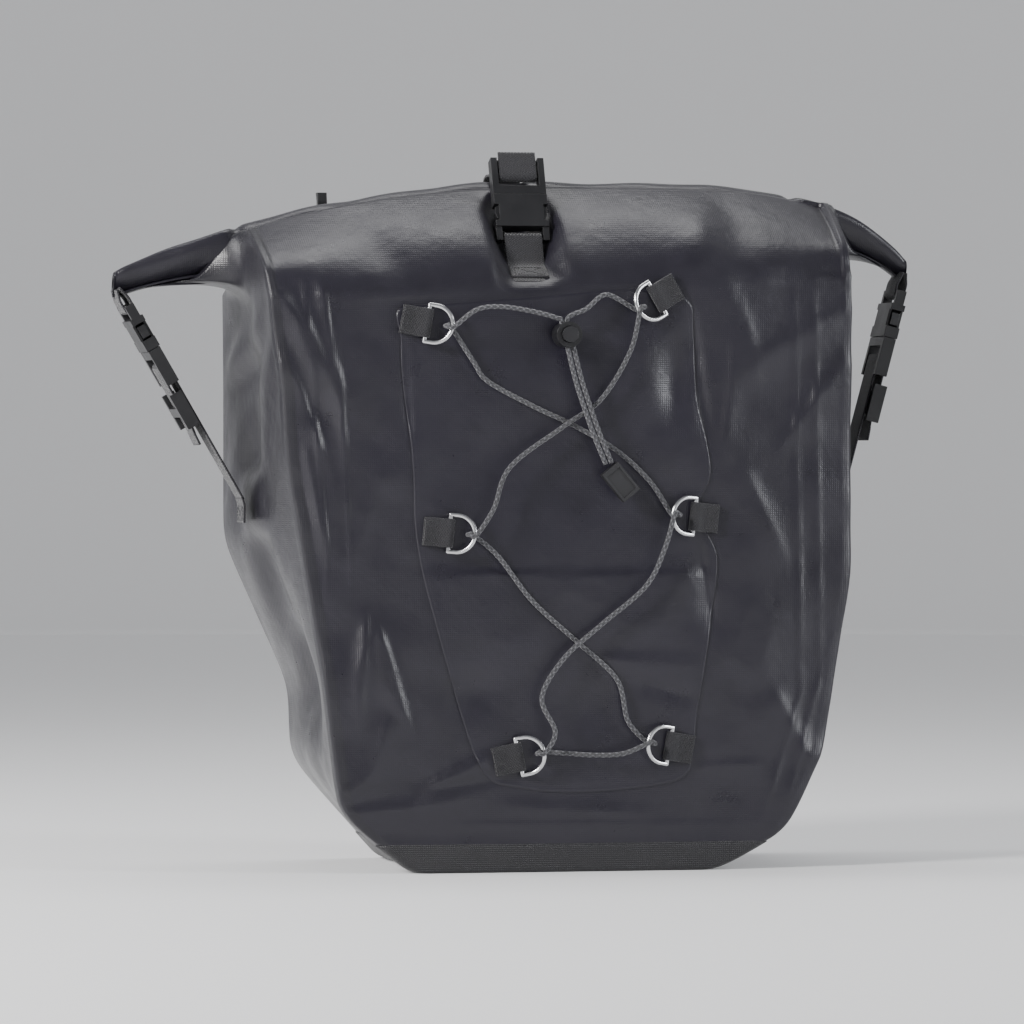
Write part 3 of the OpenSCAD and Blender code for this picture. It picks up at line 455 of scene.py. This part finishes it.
LEFT_EDGE = table([-40, 0, 66, 112, 205, 520], [-33, -72, -131, -132, -174, -174], 9)
FRONT_LEFT_EDGE = table([-40, 0, 36, 130, 260, 372, 520], [-38, -80, -127, -139, -161, -168, -172], 9)
RIGHT_EDGE = table([-24, 0, 22, 75, 185, 520], [60, 114, 158, 184, 202, 202], 8)


def seam_z(x):
    """Height of the weld where the front begins to slope back to the roll."""
    return 358 + (np.asarray(x, float) + 174) / 376 * 11


# ridges and valleys of the front: x0, z0, x1, z1, width above, width below, height
CREASES = [
    (-150, 372, -147, 178, 1.6, 1.8, 1.1), (-139, 366, -127, 262, 1.8, 5.0, 2.4),
    (-131, 352, -126, 176, 1.5, 1.6, 0.9),
    (163, 352, 167, 110, 1.8, 1.8, 1.0), (167, 110, 142, 34, 1.8, 1.8, 1.0), (176, 350, 180, 120, 1.8, 1.8, 1.0),
    (180, 120, 158, 44, 1.8, 1.8, 1.0), (-98, 30, 140, 28, 1.6, 1.6, 0.8),
    (-171, 366, -128, 296, 5.0, 15.0, 4.2), (-172, 326, -140, 250, 4.0, 12.0, 3.0),
    (-158, 262, -150, 196, 5.0, 8.0, 2.2), (200, 352, 130, 316, 5.0, 12.0, 2.8), (198, 322, 152, 262, 4.0, 11.0, 2.4),
    (119, 366, 140, 300, 6.0, 16.0, 2.6), (128, 352, 116, 262, 3.0, 12.0, 2.2),
    (-114, 158, -112, 92, 3.5, 6.0, 2.6), (-104, 150, -82, 88, 3.0, 8.0, 3.4), (-96, 96, -112, 40, 5.0, 9.0, 2.4),
    (-72, 53, -14, 82, 2.5, 12.0, 3.0), (-70, 52, -12, 60, 4.0, 3.0, -2.2), (-104, 38, -46, 47, 3.0, 8.0, 2.6),
    (102, 65, 140, 66, 2.0, 4.0, 1.4), (150, 110, 178, 60, 6.0, 10.0, 2.4), (130, 250, 158, 190, 6.0, 12.0, 2.0),
    (-100, 250, -128, 190, 6.0, 12.0, 1.8), (-66, 187, 20, 181, 2.5, 13.0, 1.8), (20, 181, 100, 186, 2.5, 13.0, 1.8),
    (42, 133, 100, 130, 2.5, 9.0, 2.2), (62, 118, 98, 108, 3.0, 5.0, -2.0), (-20, 42, 70, 36, 4.0, 9.0, 1.4),
    (96, 352, 108, 268, 2.5, 7.0, -2.4), (100, 212, 112, 150, 2.5, 7.0, -2.0), (-86, 330, -82, 268, 2.5, 6.0, -1.6),
]
# soft bumps and dimples: x, z, half width, half height, height
BUMPS = [
    (62, 322, 15, 32, 2.4), (86, 306, 10, 26, -4.2), (84, 262, 16, 18, 2.0), (-42, 112, 15, 14, -3.4),
    (-18, 150, 26, 22, 1.8), (60, 158, 30, 20, 1.8), (30, 100, 22, 20, -2.0), (-6, 250, 46, 34, -1.8),
    (-110, 230, 18, 60, -2.2), (136, 150, 22, 60, 1.6), (10, 330, 30, 12, -1.6), (-150, 330, 12, 26, 2.6),
    (-150, 286, 14, 16, -3.6), (-118, 320, 16, 30, 1.6), (176, 250, 12, 60, 1.4), (-60, 24, 30, 10, -1.2),
]


def along_line(x, z, x0, z0, x1, z1):
    """Share of the way along a line, and distance from it, positive below."""
    dx, dz = x1 - x0, z1 - z0
    length = math.hypot(dx, dz)
    t = ((x - x0) * dx + (z - z0) * dz) / length ** 2
    d = ((x - x0) * dz - (z - z0) * dx) / length
    return t, d if dx > 0 or (dx == 0 and dz < 0) else -d


def relief(x, z):
    """How far the front stands out, in mm, towards the viewer."""
    x, z = np.asarray(x, float), np.asarray(z, float)
    out = np.zeros(np.broadcast(x, z).shape)
    for x0, z0, x1, z1, above, below, height in CREASES:
        t, d = along_line(x, z, x0, z0, x1, z1)
        fade = smooth((t + 0.15) / 0.3) * smooth((1.15 - t) / 0.45)
        width = np.where(d > 0, below, above)
        out += height * fade * np.exp(-np.abs(d / width) ** 1.5)
    for bx, bz, half_x, half_z, height in BUMPS:
        out += height * np.exp(-((x - bx) / half_x) ** 2 - ((z - bz) / half_z) ** 2)
    waves = (1.3 * np.sin(x / 31 + 1.7 * np.sin(z / 47)) * np.sin(z / 39 + 0.8)
             + 0.7 * np.sin(x / 13 - z / 21 + 1.2) * np.sin(z / 17 + x / 60)
             + 0.35 * np.sin(x / 7.1 + z / 9.3) * np.sin(x / 23 - z / 12))
    edge = 1 - 0.75 * smooth((x + 80) / 30) * smooth((110 - x) / 30)
    out += waves * edge
    out += 2.2 * smooth((190 - z) / 7) * np.exp(-np.clip(190 - z, 0, None) / 60) * smooth((x + 82) / 25) \
        * smooth((116 - x) / 25)
    out -= 5.0 * smooth((np.abs(x - 14) - 120) / 70) * smooth((z - 30) / 60)
    calm = np.ones(out.shape)
    for rx, rz, _ in RINGS.values():
        calm *= 1 - np.exp(-((x - rx) ** 2 + (z - rz) ** 2) / 24.0 ** 2)
    out *= calm
    return np.clip(out, -12, 2.6)


def front_y(x, z):
    """The front's surface: upright to the seam, then swelling back to the roll, flat under the top strap."""
    seam = seam_z(x)
    tau = np.clip((z - seam) / (crest(np.clip(x, -200, 215)) - 7 - seam), 0, 1)
    swell = FRONT_Y + 69 * tau ** 1.7
    x, z = np.asarray(x, float), np.asarray(z, float)
    swell = swell - 4.0 * np.sin(math.pi * tau) * np.exp(-((x - 104 - 0.35 * (z - 400)) / 13) ** 2) \
        + 3.0 * np.sin(math.pi * tau) * np.exp(-((x - 132) / 12) ** 2) \
        + 2.2 * np.sin(math.pi * tau) * np.sin(x / 23 + z / 31) + 2.4 * np.sin(math.pi * tau) * np.exp(
            -((x + 100 + 0.5 * (z - 390)) / 12) ** 2)
    ramp = FRONT_Y + 64 * np.clip((z - seam) / (399.5 - seam), 0, 1) + 0.6
    under = np.exp(-((x - TOP[0]) / 19) ** 4)
    body_y = np.where(z > seam, swell + (np.maximum(ramp, swell) - swell) * under, FRONT_Y)
    fade = 1 - smooth(tau * 2.2)
    weld = 1.0 * np.exp(-((z - seam) / 1.6) ** 2) - 0.9 * smooth((z - seam) / 2)
    return body_y - relief(x, z) * fade - weld * fade


FRONT_COLUMNS, CORNER_COLUMNS, SIDE_COLUMNS, BACK_COLUMNS = 170, 9, 66, 80
SHOULDER_Z = 300.0      # rows are level below this height and fan out to the arch above it
ROW_STEP, CORNER_R = 2.4, 8.5
LEFT_FOOT_Z, RIGHT_FOOT_Z = 229, 194      # where the side straps are sewn to the gussets


def shell_grid():
    """Points of the lofted shell: rows upwards, columns round the bag."""
    columns = []
    corner = np.radians(np.linspace(0, 90, CORNER_COLUMNS + 2)[1:-1])
    for a in np.linspace(-1, 1, FRONT_COLUMNS):
        columns.append((a, -1.0, 0.0, -1.0, "front"))
    for k in corner:
        columns.append((1.0, -1.0, math.sin(k), -math.cos(k), "corner"))
    for b in np.linspace(-1, 1, SIDE_COLUMNS):
        columns.append((1.0, b, 1.0, 0.0, "side"))
    for k in corner:
        columns.append((1.0, 1.0, math.cos(k), math.sin(k), "corner"))
    for a in np.linspace(1, -1, BACK_COLUMNS):
        columns.append((a, 1.0, 0.0, 1.0, "back"))
    for k in corner:
        columns.append((-1.0, 1.0, -math.sin(k), math.cos(k), "corner"))
    for b in np.linspace(1, -1, SIDE_COLUMNS):
        columns.append((-1.0, b, -1.0, 0.0, "side"))
    for k in corner:
        columns.append((-1.0, -1.0, -math.cos(k), -math.sin(k), "corner"))
    a, b, dx, dy = (np.array([c[i] for c in columns]) for i in range(4))
    is_side = np.array([c[4] == "side" for c in columns])
    is_corner = np.array([c[4] == "corner" for c in columns])
    levels = [(0.25, 30, 0.0), (0.7, 10, 0.0), (1, 5.5, 0.0), (1, 3.2, 0.5), (1, 1.4, 1.7), (1, 0.4, 3.4)]
    levels += [(1, 0, z) for z in np.arange(5, SHOULDER_Z, ROW_STEP)]
    rows = [(z, 0.0, share, inset) for share, inset, z in levels]
    rows += [(None, s, 1, 0) for s in np.concatenate([np.linspace(0, 0.7, 22), np.linspace(0.71, 1.0, 34)])]
    grid = []
    for z_row, s, share, inset in rows:
        if z_row is None:
            xl, xr = LEFT_X, RIGHT_X
        else:
            xl, xr = np.interp(z_row, *LEFT_EDGE), np.interp(z_row, *RIGHT_EDGE)
        xm, hw = (xl + xr) / 2, ((xr - xl) / 2 - inset) * share
        r = CORNER_R * (1 - 0.45 * s)
        flare = np.where(a < 0, 66.0, 40.0) * s ** 14 * (1 - np.abs(b)) * is_side
        x = xm + a * (hw - r) + dx * r + np.sign(a) * flare
        top = under_roll(np.clip(x, -250, 250)) + 3 + 26 * smooth((-b - 0.45) / 0.5)
        z = np.full(x.shape, z_row) if z_row is not None else SHOULDER_Z + (top - SHOULDER_Z) * s
        end = crest(np.where(a < 0, LEFT_X, RIGHT_X)) - 7
        zc = z if z_row is not None else SHOULDER_Z + (end - SHOULDER_Z) * s
        here = np.where(is_side | is_corner, zc, z)
        edge_x = np.where(is_side | is_corner, xm + a * (hw - r), x)
        yf = np.maximum(front_y(edge_x, here), FRONT_Y + inset - 2.6)
        yf = np.where(share < 1, FRONT_Y + inset, yf)
        roof = under_roll(np.clip(edge_x, LEFT_X, RIGHT_X)) + 3
        rear = SHOULDER_Z + (roof - SHOULDER_Z) * s if z_row is None else here
        lip = np.minimum(386, roof - 14)
        yb = BACK_Y - inset - 65 * np.clip((rear - lip) / (roof - lip), 0, 1) ** 1.2
        ym, hd = (yf + yb) / 2, (yb - yf) / 2 * share
        bead = 1.1 * np.exp(-((np.abs(dx) - np.abs(dy)) / 0.35) ** 2) * is_corner * (z_row is None or z_row > 18)
        y = ym + b * (hd - r) + dy * r
        x = x + dx * bead
        y = y + dy * bead
        # the gussets fold inwards along their middle and pucker beside it, but lie flat under a sewn strap
        zz = z if z_row is not None else here
        tuck = (9 * np.exp(-(b / 0.34) ** 2) * smooth((zz - 70) / 80) * (1 - s)
                + 9.0 * np.exp(-((b + 0.35) / 0.3) ** 2) * np.exp(-((zz - 124) / 36) ** 2)
                + 1.8 * np.sin(zz / 17 + 5 * b) * np.sin(3.3 * b + zz / 41) * (1 - b ** 2) * (1 - 0.6 * s)
                + 3.2 * np.sin((zz + 34 * b) / 9.5) * (1 - b ** 2) * np.exp(-((zz - 330) / 34) ** 2) * (1 - 0.5 * s))
        held = np.exp(-((zz - np.where(a < 0, LEFT_FOOT_Z, RIGHT_FOOT_Z)) / 22) ** 4) * np.exp(-(b / 0.4) ** 4)
        x = x - np.sign(a) * np.clip(tuck, -1.5, 30) * is_side * share * (1 - held)
        # the left gusset twists: its front edge runs straight down, its back edge follows the heel
        twist = np.interp(zz, *FRONT_LEFT_EDGE) - np.interp(zz, *LEFT_EDGE)
        x = x + (a < 0) * twist * ((1 - b) / 2) ** 2 * np.clip(-a, 0, 1) ** 5 * share * (1 - s)
        grid.append(np.stack([x, y, z], 1))
    return np.array(grid)


shell = shell_grid()
rows, columns = shell.shape[:2]
faces = grid_faces(rows, columns)
faces.append(tuple(range(columns - 1, -1, -1)))
faces.append(tuple((rows - 1) * columns + k for k in range(columns)))
body = piece("bag_shell", shell.reshape(-1, 3), faces, "tarpaulin",
             stands_for=("front_panel", "left_gusset", "right_gusset", "back_panel", "collar"))
# every face but the front's takes the darker copy of the cloth, as painted shade
body.data.materials.append(MAT["tarpaulin_side"])
front_end = FRONT_COLUMNS + CORNER_COLUMNS // 2
shaded_faces = [int(p.vertices[0] % columns > front_end and len(p.vertices) == 4) for p in body.data.polygons]
body.data.polygons.foreach_set("material_index", shaded_faces)

# the board inside the back, its top cut to lie under the rear slope
board = NODES["back_board"]
points = np.array([list(board.matrix_world @ v.co) for v in board.data.vertices]) / MM
points[:, 2] = np.minimum(points[:, 2], under_roll(points[:, 0]) - 16)
made = piece("board_sheet", points, [tuple(p.vertices) for p in board.data.polygons], "stiffener_sheet",
             stands_for=("back_board",))
made.data.polygons.foreach_set("use_smooth", [False] * len(made.data.polygons))

# the reinforced base wraps round the foot of the shell, up to a welded edge
BASE_TOP, BASE_THICK = 17.5, 1.1
foot = [i for i in range(2, rows) if shell[i, 0, 2] <= BASE_TOP]
ring_rows = []
for i in foot:
    mid = shell[i].mean(0)
    out = shell[i] - mid
    out[:, 2] = 0
    out /= np.linalg.norm(out, axis=1)[:, None]
    p = shell[i] + BASE_THICK * out
    p[:, 2] = np.maximum(p[:, 2], 0.0)
    ring_rows.append(p)
ring_rows.append(shell[foot[-1]] + (shell[foot[-1]] - shell[foot[-1]].mean(0)) * 0.001 + np.array([0, 0, 0.9]))
base = np.array(ring_rows)
faces = grid_faces(len(base), columns)
faces.append(tuple(range(columns - 1, -1, -1)))
piece("bag_base", base.reshape(-1, 3), faces, "tarpaulin_base", stands_for=("bottom_panel",))

# ---------------------------------------------------------------- welded front patch
outline = [(-90, 350), (-89, 332), (-88, 308), (-83, 268), (-81, 240), (-80, 214), (-74, 180), (-58, 122), (-38, 64),
           (-14, 52), (30, 49), (88, 56), (97, 76), (100, 99), (108, 150), (113, 192), (107, 210), (100, 226),
           (108, 246), (106, 268), (100, 297), (98, 336), (93, 357), (60, 363), (0, 358), (-60, 353)]
knots = np.array([(x, 0, z) for x, z in outline], float)
edge = spline(np.vstack([knots[-2:], knots, knots[:2]]), 3.0)
near = np.linalg.norm(edge - knots[0], axis=1)
half = len(edge) // 2
edge = edge[np.argmin(near[:half]):half + np.argmin(near[half:])]
heart = np.array([10.0, 0, 205.0])
levels = np.concatenate([np.linspace(0.0, 0.97, 62)[1:], [0.985, 0.993, 1.0]])
patch = heart + levels[:, None, None] * (edge - heart)[None]
patch[..., 1] = front_y(patch[..., 0], patch[..., 2]) - PATCH
# its outer rings turn down onto the shell
patch[-3, :, 1] += 0.25
patch[-2, :, 1] += 0.05
patch[-1, :, 1] += PATCH + 0.3
count = len(edge)
faces = grid_faces(len(levels), count)
faces.append(tuple(range(count - 1, -1, -1)))
piece("bag_patch", patch.reshape(-1, 3), [f[::-1] for f in faces], "patch", stands_for=("bungee_patch",))

# ---------------------------------------------------------------- roll closure: a wound sheet, swept along the arch
TURNS, WOUND = 2.35, 150                            # of the spiral, and points along it
OUTER_R, PITCH, SHEET_HALF = 16.9, 4.4, 1.15
ROLL_END, EAR_FROM, SHOULDER_X = 256.4, 176, 179
phi = np.linspace(0, TURNS * 2 * math.pi, WOUND)
start = math.radians(-128)
radius = OUTER_R - PITCH * phi / (2 * math.pi)
spiral = [np.stack([(radius + d) * np.cos(start + phi), (radius + d) * np.sin(start + phi)], 1)
          for d in (SHEET_HALF, -SHEET_HALF)]
section = np.vstack([spiral[0], spiral[1][::-1]])
angle = np.arctan2(section[:, 1], section[:, 0])
xs = np.concatenate([np.linspace(-ROLL_END, -240, 8), np.linspace(-238, 238, 210), np.linspace(240, ROLL_END, 8)])
roll = []
for x in xs:
    scale = roll_at(x) / ROLL_HEIGHT
    mid = crest(x) - roll_at(x) / 2
    ear = smooth((abs(x) - EAR_FROM) / 12)
    pinch = (0.9 * np.exp(-((abs(x) - 238) / 12) ** 2) + 2.2 * np.exp(-((abs(x) - SHOULDER_X) / 3.0) ** 2)
             + 1.6 * np.exp(-((x + 4) / 11.0) ** 4) * (np.sin(angle) > -0.2))
    puff = (0.55 * np.sin(x / 19 + 2.1 * np.sin(angle)) + 0.4 * np.sin(x / 8.3 + 3 * angle)
            + 0.7 * np.sin(x / 37 + angle) - 0.9 * np.abs(np.sin(x / 46 + 0.5 * angle)) ** 14)
    fold = 2.4 * np.exp(-((x - 92 - 20 * np.sin(angle)) / 7) ** 2) * np.clip(-np.cos(angle), 0, 1)
    rim = 1 - 0.10 * smooth((abs(x) - 250) / 7)
    shrink = (1 - (0.9 + pinch - puff + fold) / 18) * rim
    depth = scale * (1 - 0.12 * smooth((abs(x) - 190) / 60))
    rise = section[:, 1] * shrink * scale
    deep = section[:, 0] * shrink * depth * (1 - 0.25 * ear)
    # the ears twist a little as they droop
    roll.append(np.stack([np.full(len(section), x), ROLL_Y + deep - ear * (0.42 * rise + 1.0), mid + rise], 1))
roll = np.array(roll)
rows, columns_r = roll.shape[:2]
faces = grid_faces(rows, columns_r)
for first, flip in ((0, False), ((rows - 1) * columns_r, True)):
    for i in range(WOUND - 1):
        quad = (first + i, first + i + 1, first + columns_r - 2 - i, first + columns_r - 1 - i)
        faces.append(quad[::-1] if flip else quad)
piece("bag_roll", roll.reshape(-1, 3), faces, "tarpaulin", stands_for=("roll_top",))


# ---------------------------------------------------------------- stitches
def stitches(name, lines):
    """Short raised threads along lines of (start, end, normal), in mm."""
    verts, faces = [], []
    for begin, end, up in lines:
        begin, end, up = (np.array(v, float) for v in (begin, end, up))
        length = np.linalg.norm(end - begin)
        direction = (end - begin) / length
        side = np.cross(direction, up)
        for k in range(int(length / 2.1)):
            middle = begin + direction * (k * 2.1 + 1.05)
            first = len(verts)
            for t, w in ((-0.85, 0.10), (-0.5, 0.26), (0.5, 0.26), (0.85, 0.10)):
                for q in range(6):
                    g = q * math.pi / 3
                    verts.append(middle + direction * t + side * w * math.cos(g) + up * (w * math.sin(g) + 0.05))
            for i in range(3):
                for q in range(6):
                    n = (q + 1) % 6
                    faces.append((first + i * 6 + q, first + i * 6 + n, first + i * 6 + 6 + n, first + i * 6 + 6 + q))
            faces.append(tuple(first + q for q in range(5, -1, -1)))
            faces.append(tuple(first + 18 + q for q in range(6)))
    return piece(name, verts, faces, "stitch", uvs=[(0, 0)] * len(verts))


def box_stitch(origin, u, v, up, width, height):
    """The lines of a sewn box with its cross."""
    o, u, v = (np.array(q, float) for q in (origin, u, v))
    a, b, c, d = (o + u * width / 2 * i + v * height / 2 * j for i, j in ((-1, -1), (1, -1), (1, 1), (-1, 1)))
    return [(a, b, up), (b, c, up), (c, d, up), (d, a, up), (a, c, up), (b, d, up)]


# ---------------------------------------------------------------- ring tabs
def tab(name, ring):
    """The folded webbing that holds a ring."""
    x, z, a = ring
    a = math.radians(a)
    local = [(-16, 2.35), (-12, 2.35), (-6, 2.35), (-1.5, 2.35), (0.9, 2.15), (2.2, 0.9), (2.2, -0.9), (0.9, -2.15),
             (-1.6, -2.1), (-5, -0.3), (-8, 0.7), (-12, 0.78), (-15.5, 0.78)]
    path = [(x + q * math.cos(a), RING_Y + d, z - q * math.sin(a)) for q, d in local]
    return strap(name, path, (math.sin(a), 0, math.cos(a)), 18.0, 1.45, step=0.8)


for word, ring in RINGS.items():
    made = tab("tab_" + word, ring)
    if word == "tl":
        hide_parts("ring_tabs")
lines = []
for x, z, a in RINGS.values():
    a = math.radians(a)
    u, v = np.array([math.cos(a), 0, -math.sin(a)]), np.array([math.sin(a), 0, math.cos(a)])
    lines += box_stitch(np.array([x, RING_Y + 0.02, z]) - 11.0 * u, u, v, (0, -1, 0), 7.0, 13.5)


# ---------------------------------------------------------------- side chains
def chain(side, t, s):
    """A point of a side chain: t outwards from its line, s down along it, on the end it hangs from."""
    end, lean = (252.0, math.radians(15)) if side > 0 else (-251.0, math.radians(30))
    x = t * math.cos(lean) - s * math.sin(lean)
    z = -t * math.sin(lean) - s * math.cos(lean)
    return (end + side * x, ROLL_Y, float(under_roll(end)) - 0.5 + z)


def loop(middle, up):
    """The half turn of a strap round a buckle bar."""
    return [(LOOP_R * math.cos(a), middle + up * LOOP_R * math.sin(a)) for a in np.radians(np.arange(0, 181, 22.5))]


for side, word in ((-1, "left"), (1, "right")):
    ends, lean = (252.0, 15.0) if side > 0 else (251.0, 30.0)
    wall_x = RIGHT_X if side > 0 else -LEFT_X
    sin_l, cos_l = math.sin(math.radians(lean)), math.cos(math.radians(lean))
    reach = (ends - wall_x - STRAP_T / 2 - 0.1 - LOOP_R * cos_l) / sin_l
    ear = ([(-0.9, -7.0), (-1.9, -3.0), (-LOOP_R, 0.6)] + loop(FEMALE_START + FEMALE_BAR, 1)[::-1]
           + [(LOOP_R, 0.6), (1.9, -3.0), (0.9, -7.0)])
    strap("ear_tab_" + word, [chain(side, t, s) for t, s in ear], (0, 1, 0), 24.0,
          stands_for=(word + "_ear_tab",), step=0.9)
    long = ([(LOOP_R + 1.0, TAIL_LENGTH - 1), (LOOP_R + 0.6, TAIL_LENGTH - 8)]
            + [(LOOP_R, 92), (LOOP_R, 80), (LOOP_R, 66)]
            + loop(FEMALE_START + MALE_BAR, -1) + [(-LOOP_R, 70), (-LOOP_R, reach - 8), (-LOOP_R + 0.3, reach - 2)]
            + [(-LOOP_R + d * sin_l, reach + d * cos_l) for d in (3, 8, 14)])
    strap("side_strap_" + word, [chain(side, t, s) for t, s in long], (0, 1, 0), 24.0,
          stands_for=(word + "_side_strap",), step=1.2)
    normal = np.array([side * 1.0, 0, 0])
    foot_at = np.array(chain(side, -LOOP_R + 8 * sin_l, reach + 8 * cos_l)) + normal * 0.78
    lines += box_stitch(foot_at, (0, 1, 0), (0, 0, 1), normal, 18.0, 9.0)


# ---------------------------------------------------------------- top closure
def top_point(t, s):
    """A point of the top closure: t out of the tilted buckle, s along it."""
    return (TOP[0], TOP[1] + s * math.sin(TOP_LEAN) - t * math.cos(TOP_LEAN),
            TOP[2] + s * math.cos(TOP_LEAN) + t * math.sin(TOP_LEAN))


slope_top = np.array([-22.0, 399.5])
slope_down = np.array([FRONT_Y, 360.0]) - slope_top
slope_down /= np.linalg.norm(slope_down)
slope_out = np.array([slope_down[1], -slope_down[0]])


def on_slope(q, o):
    """A point q down the front slope and o off it."""
    y, z = slope_top + q * slope_down + o * slope_out
    return (TOP[0], float(y), float(z))


crest_z, behind = float(crest(TOP[0])) + 1.3, ROLL_Y + 18 + 1.3
anchor = ([on_slope(64, 1.0), on_slope(50, 1.0), on_slope(38, 1.0)]
          + [top_point(*p) for p in loop(FEMALE_BAR, 1)[::-1]]
          + [on_slope(42, 2.6), on_slope(52, 2.55), on_slope(60, 2.55)])
strap("top_anchor", anchor, (1, 0, 0), 24.0, stands_for=("top_anchor_strap",), step=0.9)
over = ([top_point(LOOP_R, 60), top_point(LOOP_R, 53)] + [top_point(*p) for p in loop(MALE_BAR, -1)]
        + [top_point(-LOOP_R, MALE_END)]
        + [(TOP[0], y, z) for y, z in ((ROLL_Y - 14, crest_z + 1.2), (ROLL_Y - 6, crest_z), (ROLL_Y + 5, crest_z),
                                       (ROLL_Y + 14, crest_z - 0.6), (behind, crest_z - 6),
                                       (behind, crest_z - 26), (behind + 4, crest_z - 32), (26, 402.4),
                                       (38, 399.4), (BACK_Y - 24, 395.4), (BACK_Y - 10, 391.4))])
strap("top_strap_web", over, (1, 0, 0), 24.0, stands_for=("top_strap",), step=1.2)
normal = np.array([0, slope_out[0], slope_out[1]])
spot = np.array(on_slope(54, 2.55)) + normal * 0.8
lines += box_stitch(spot, (1, 0, 0), (0, slope_down[0], slope_down[1]), normal, 18.0, 9.0)

# ---------------------------------------------------------------- carry handle
y0 = BACK_Y + 1.1
grip = [(-76, y0), (-66, y0), (-57, y0 + 0.2), (-46, y0 + 7), (-34, y0 + 16), (-18, y0 + 19.6), (14, y0 + 20),
        (46, y0 + 19.6), (62, y0 + 16), (74, y0 + 7), (85, y0 + 0.2), (94, y0), (104, y0)]
strap("handle_web", [(x, y, 331) for x, y in grip], (0, 0, 1), 25.0, 2.0, stands_for=("carry_handle",), step=1.5)
for x in (-62, 90):
    lines += box_stitch((x, y0 + 1.05, 331), (1, 0, 0), (0, 0, 1), (0, 1, 0), 6.0, 18.0)
stitches("sewing", lines)

# ---------------------------------------------------------------- floor and light
# a wide dish of pale paper, so that every view has it behind the bag
mesh = bpy.data.meshes.new("floor")
flat, bend, rise, around = 5.2, 1.6, 5.0, 96
profile = [(flat, 0.0)]
profile += [(flat + bend * math.sin(a), bend * (1 - math.cos(a))) for a in np.linspace(0, math.pi / 2, 20)[1:]]
profile.append((flat + bend, rise))
turn = np.arange(around) * 2 * math.pi / around
verts = [(r * math.cos(a), r * math.sin(a), z) for r, z in profile for a in turn]
mesh.from_pydata(verts, [], [tuple(range(around))] + grid_faces(len(profile), around))
mesh.polygons.foreach_set("use_smooth", [False] + [True] * (len(mesh.polygons) - 1))
floor = bpy.data.objects.new("floor", mesh)
scene.collection.objects.link(floor)
m, t, s = graph("floor_paper")
setp(s, t, Base_Color=(0.74, 0.74, 0.75, 1), Roughness=0.85, Emission_Color=(1, 1, 1, 1),
     Emission_Strength=0.14)
mesh.materials.append(m)
floor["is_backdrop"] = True


def area(name, where, aim, power, width, height, colour=(1, 1, 1)):
    """A soft light aimed at a point."""
    light = bpy.data.lights.new(name, "AREA")
    light.shape, light.size, light.size_y, light.energy, light.color = "RECTANGLE", width, height, power, colour
    obj = bpy.data.objects.new(name, light)
    scene.collection.objects.link(obj)
    obj.location = where
    obj.rotation_euler = (Vector(aim) - Vector(where)).to_track_quat("-Z", "Y").to_euler()


area("key", (-1.9, -1.2, 1.3), (0, 0, 0.22), 70, 0.5, 0.7, (1.0, 0.985, 0.97))
area("fill", (2.0, -1.1, 0.9), (0, 0, 0.2), 30, 0.6, 1.2, (0.95, 0.97, 1.0))
area("top", (0.1, 0.6, 2.2), (0, 0, 0.3), 14, 1.4, 0.8)
area("rim", (-1.7, 0.3, 0.9), (0, 0, 0.3), 18, 0.5, 1.2)
world = bpy.data.worlds.new("world")
world.use_nodes = True
world.node_tree.nodes["Background"].inputs["Color"].default_value = (0.80, 0.82, 0.85, 1)
world.node_tree.nodes["Background"].inputs["Strength"].default_value = 0.36
scene.world = world

low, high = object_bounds()
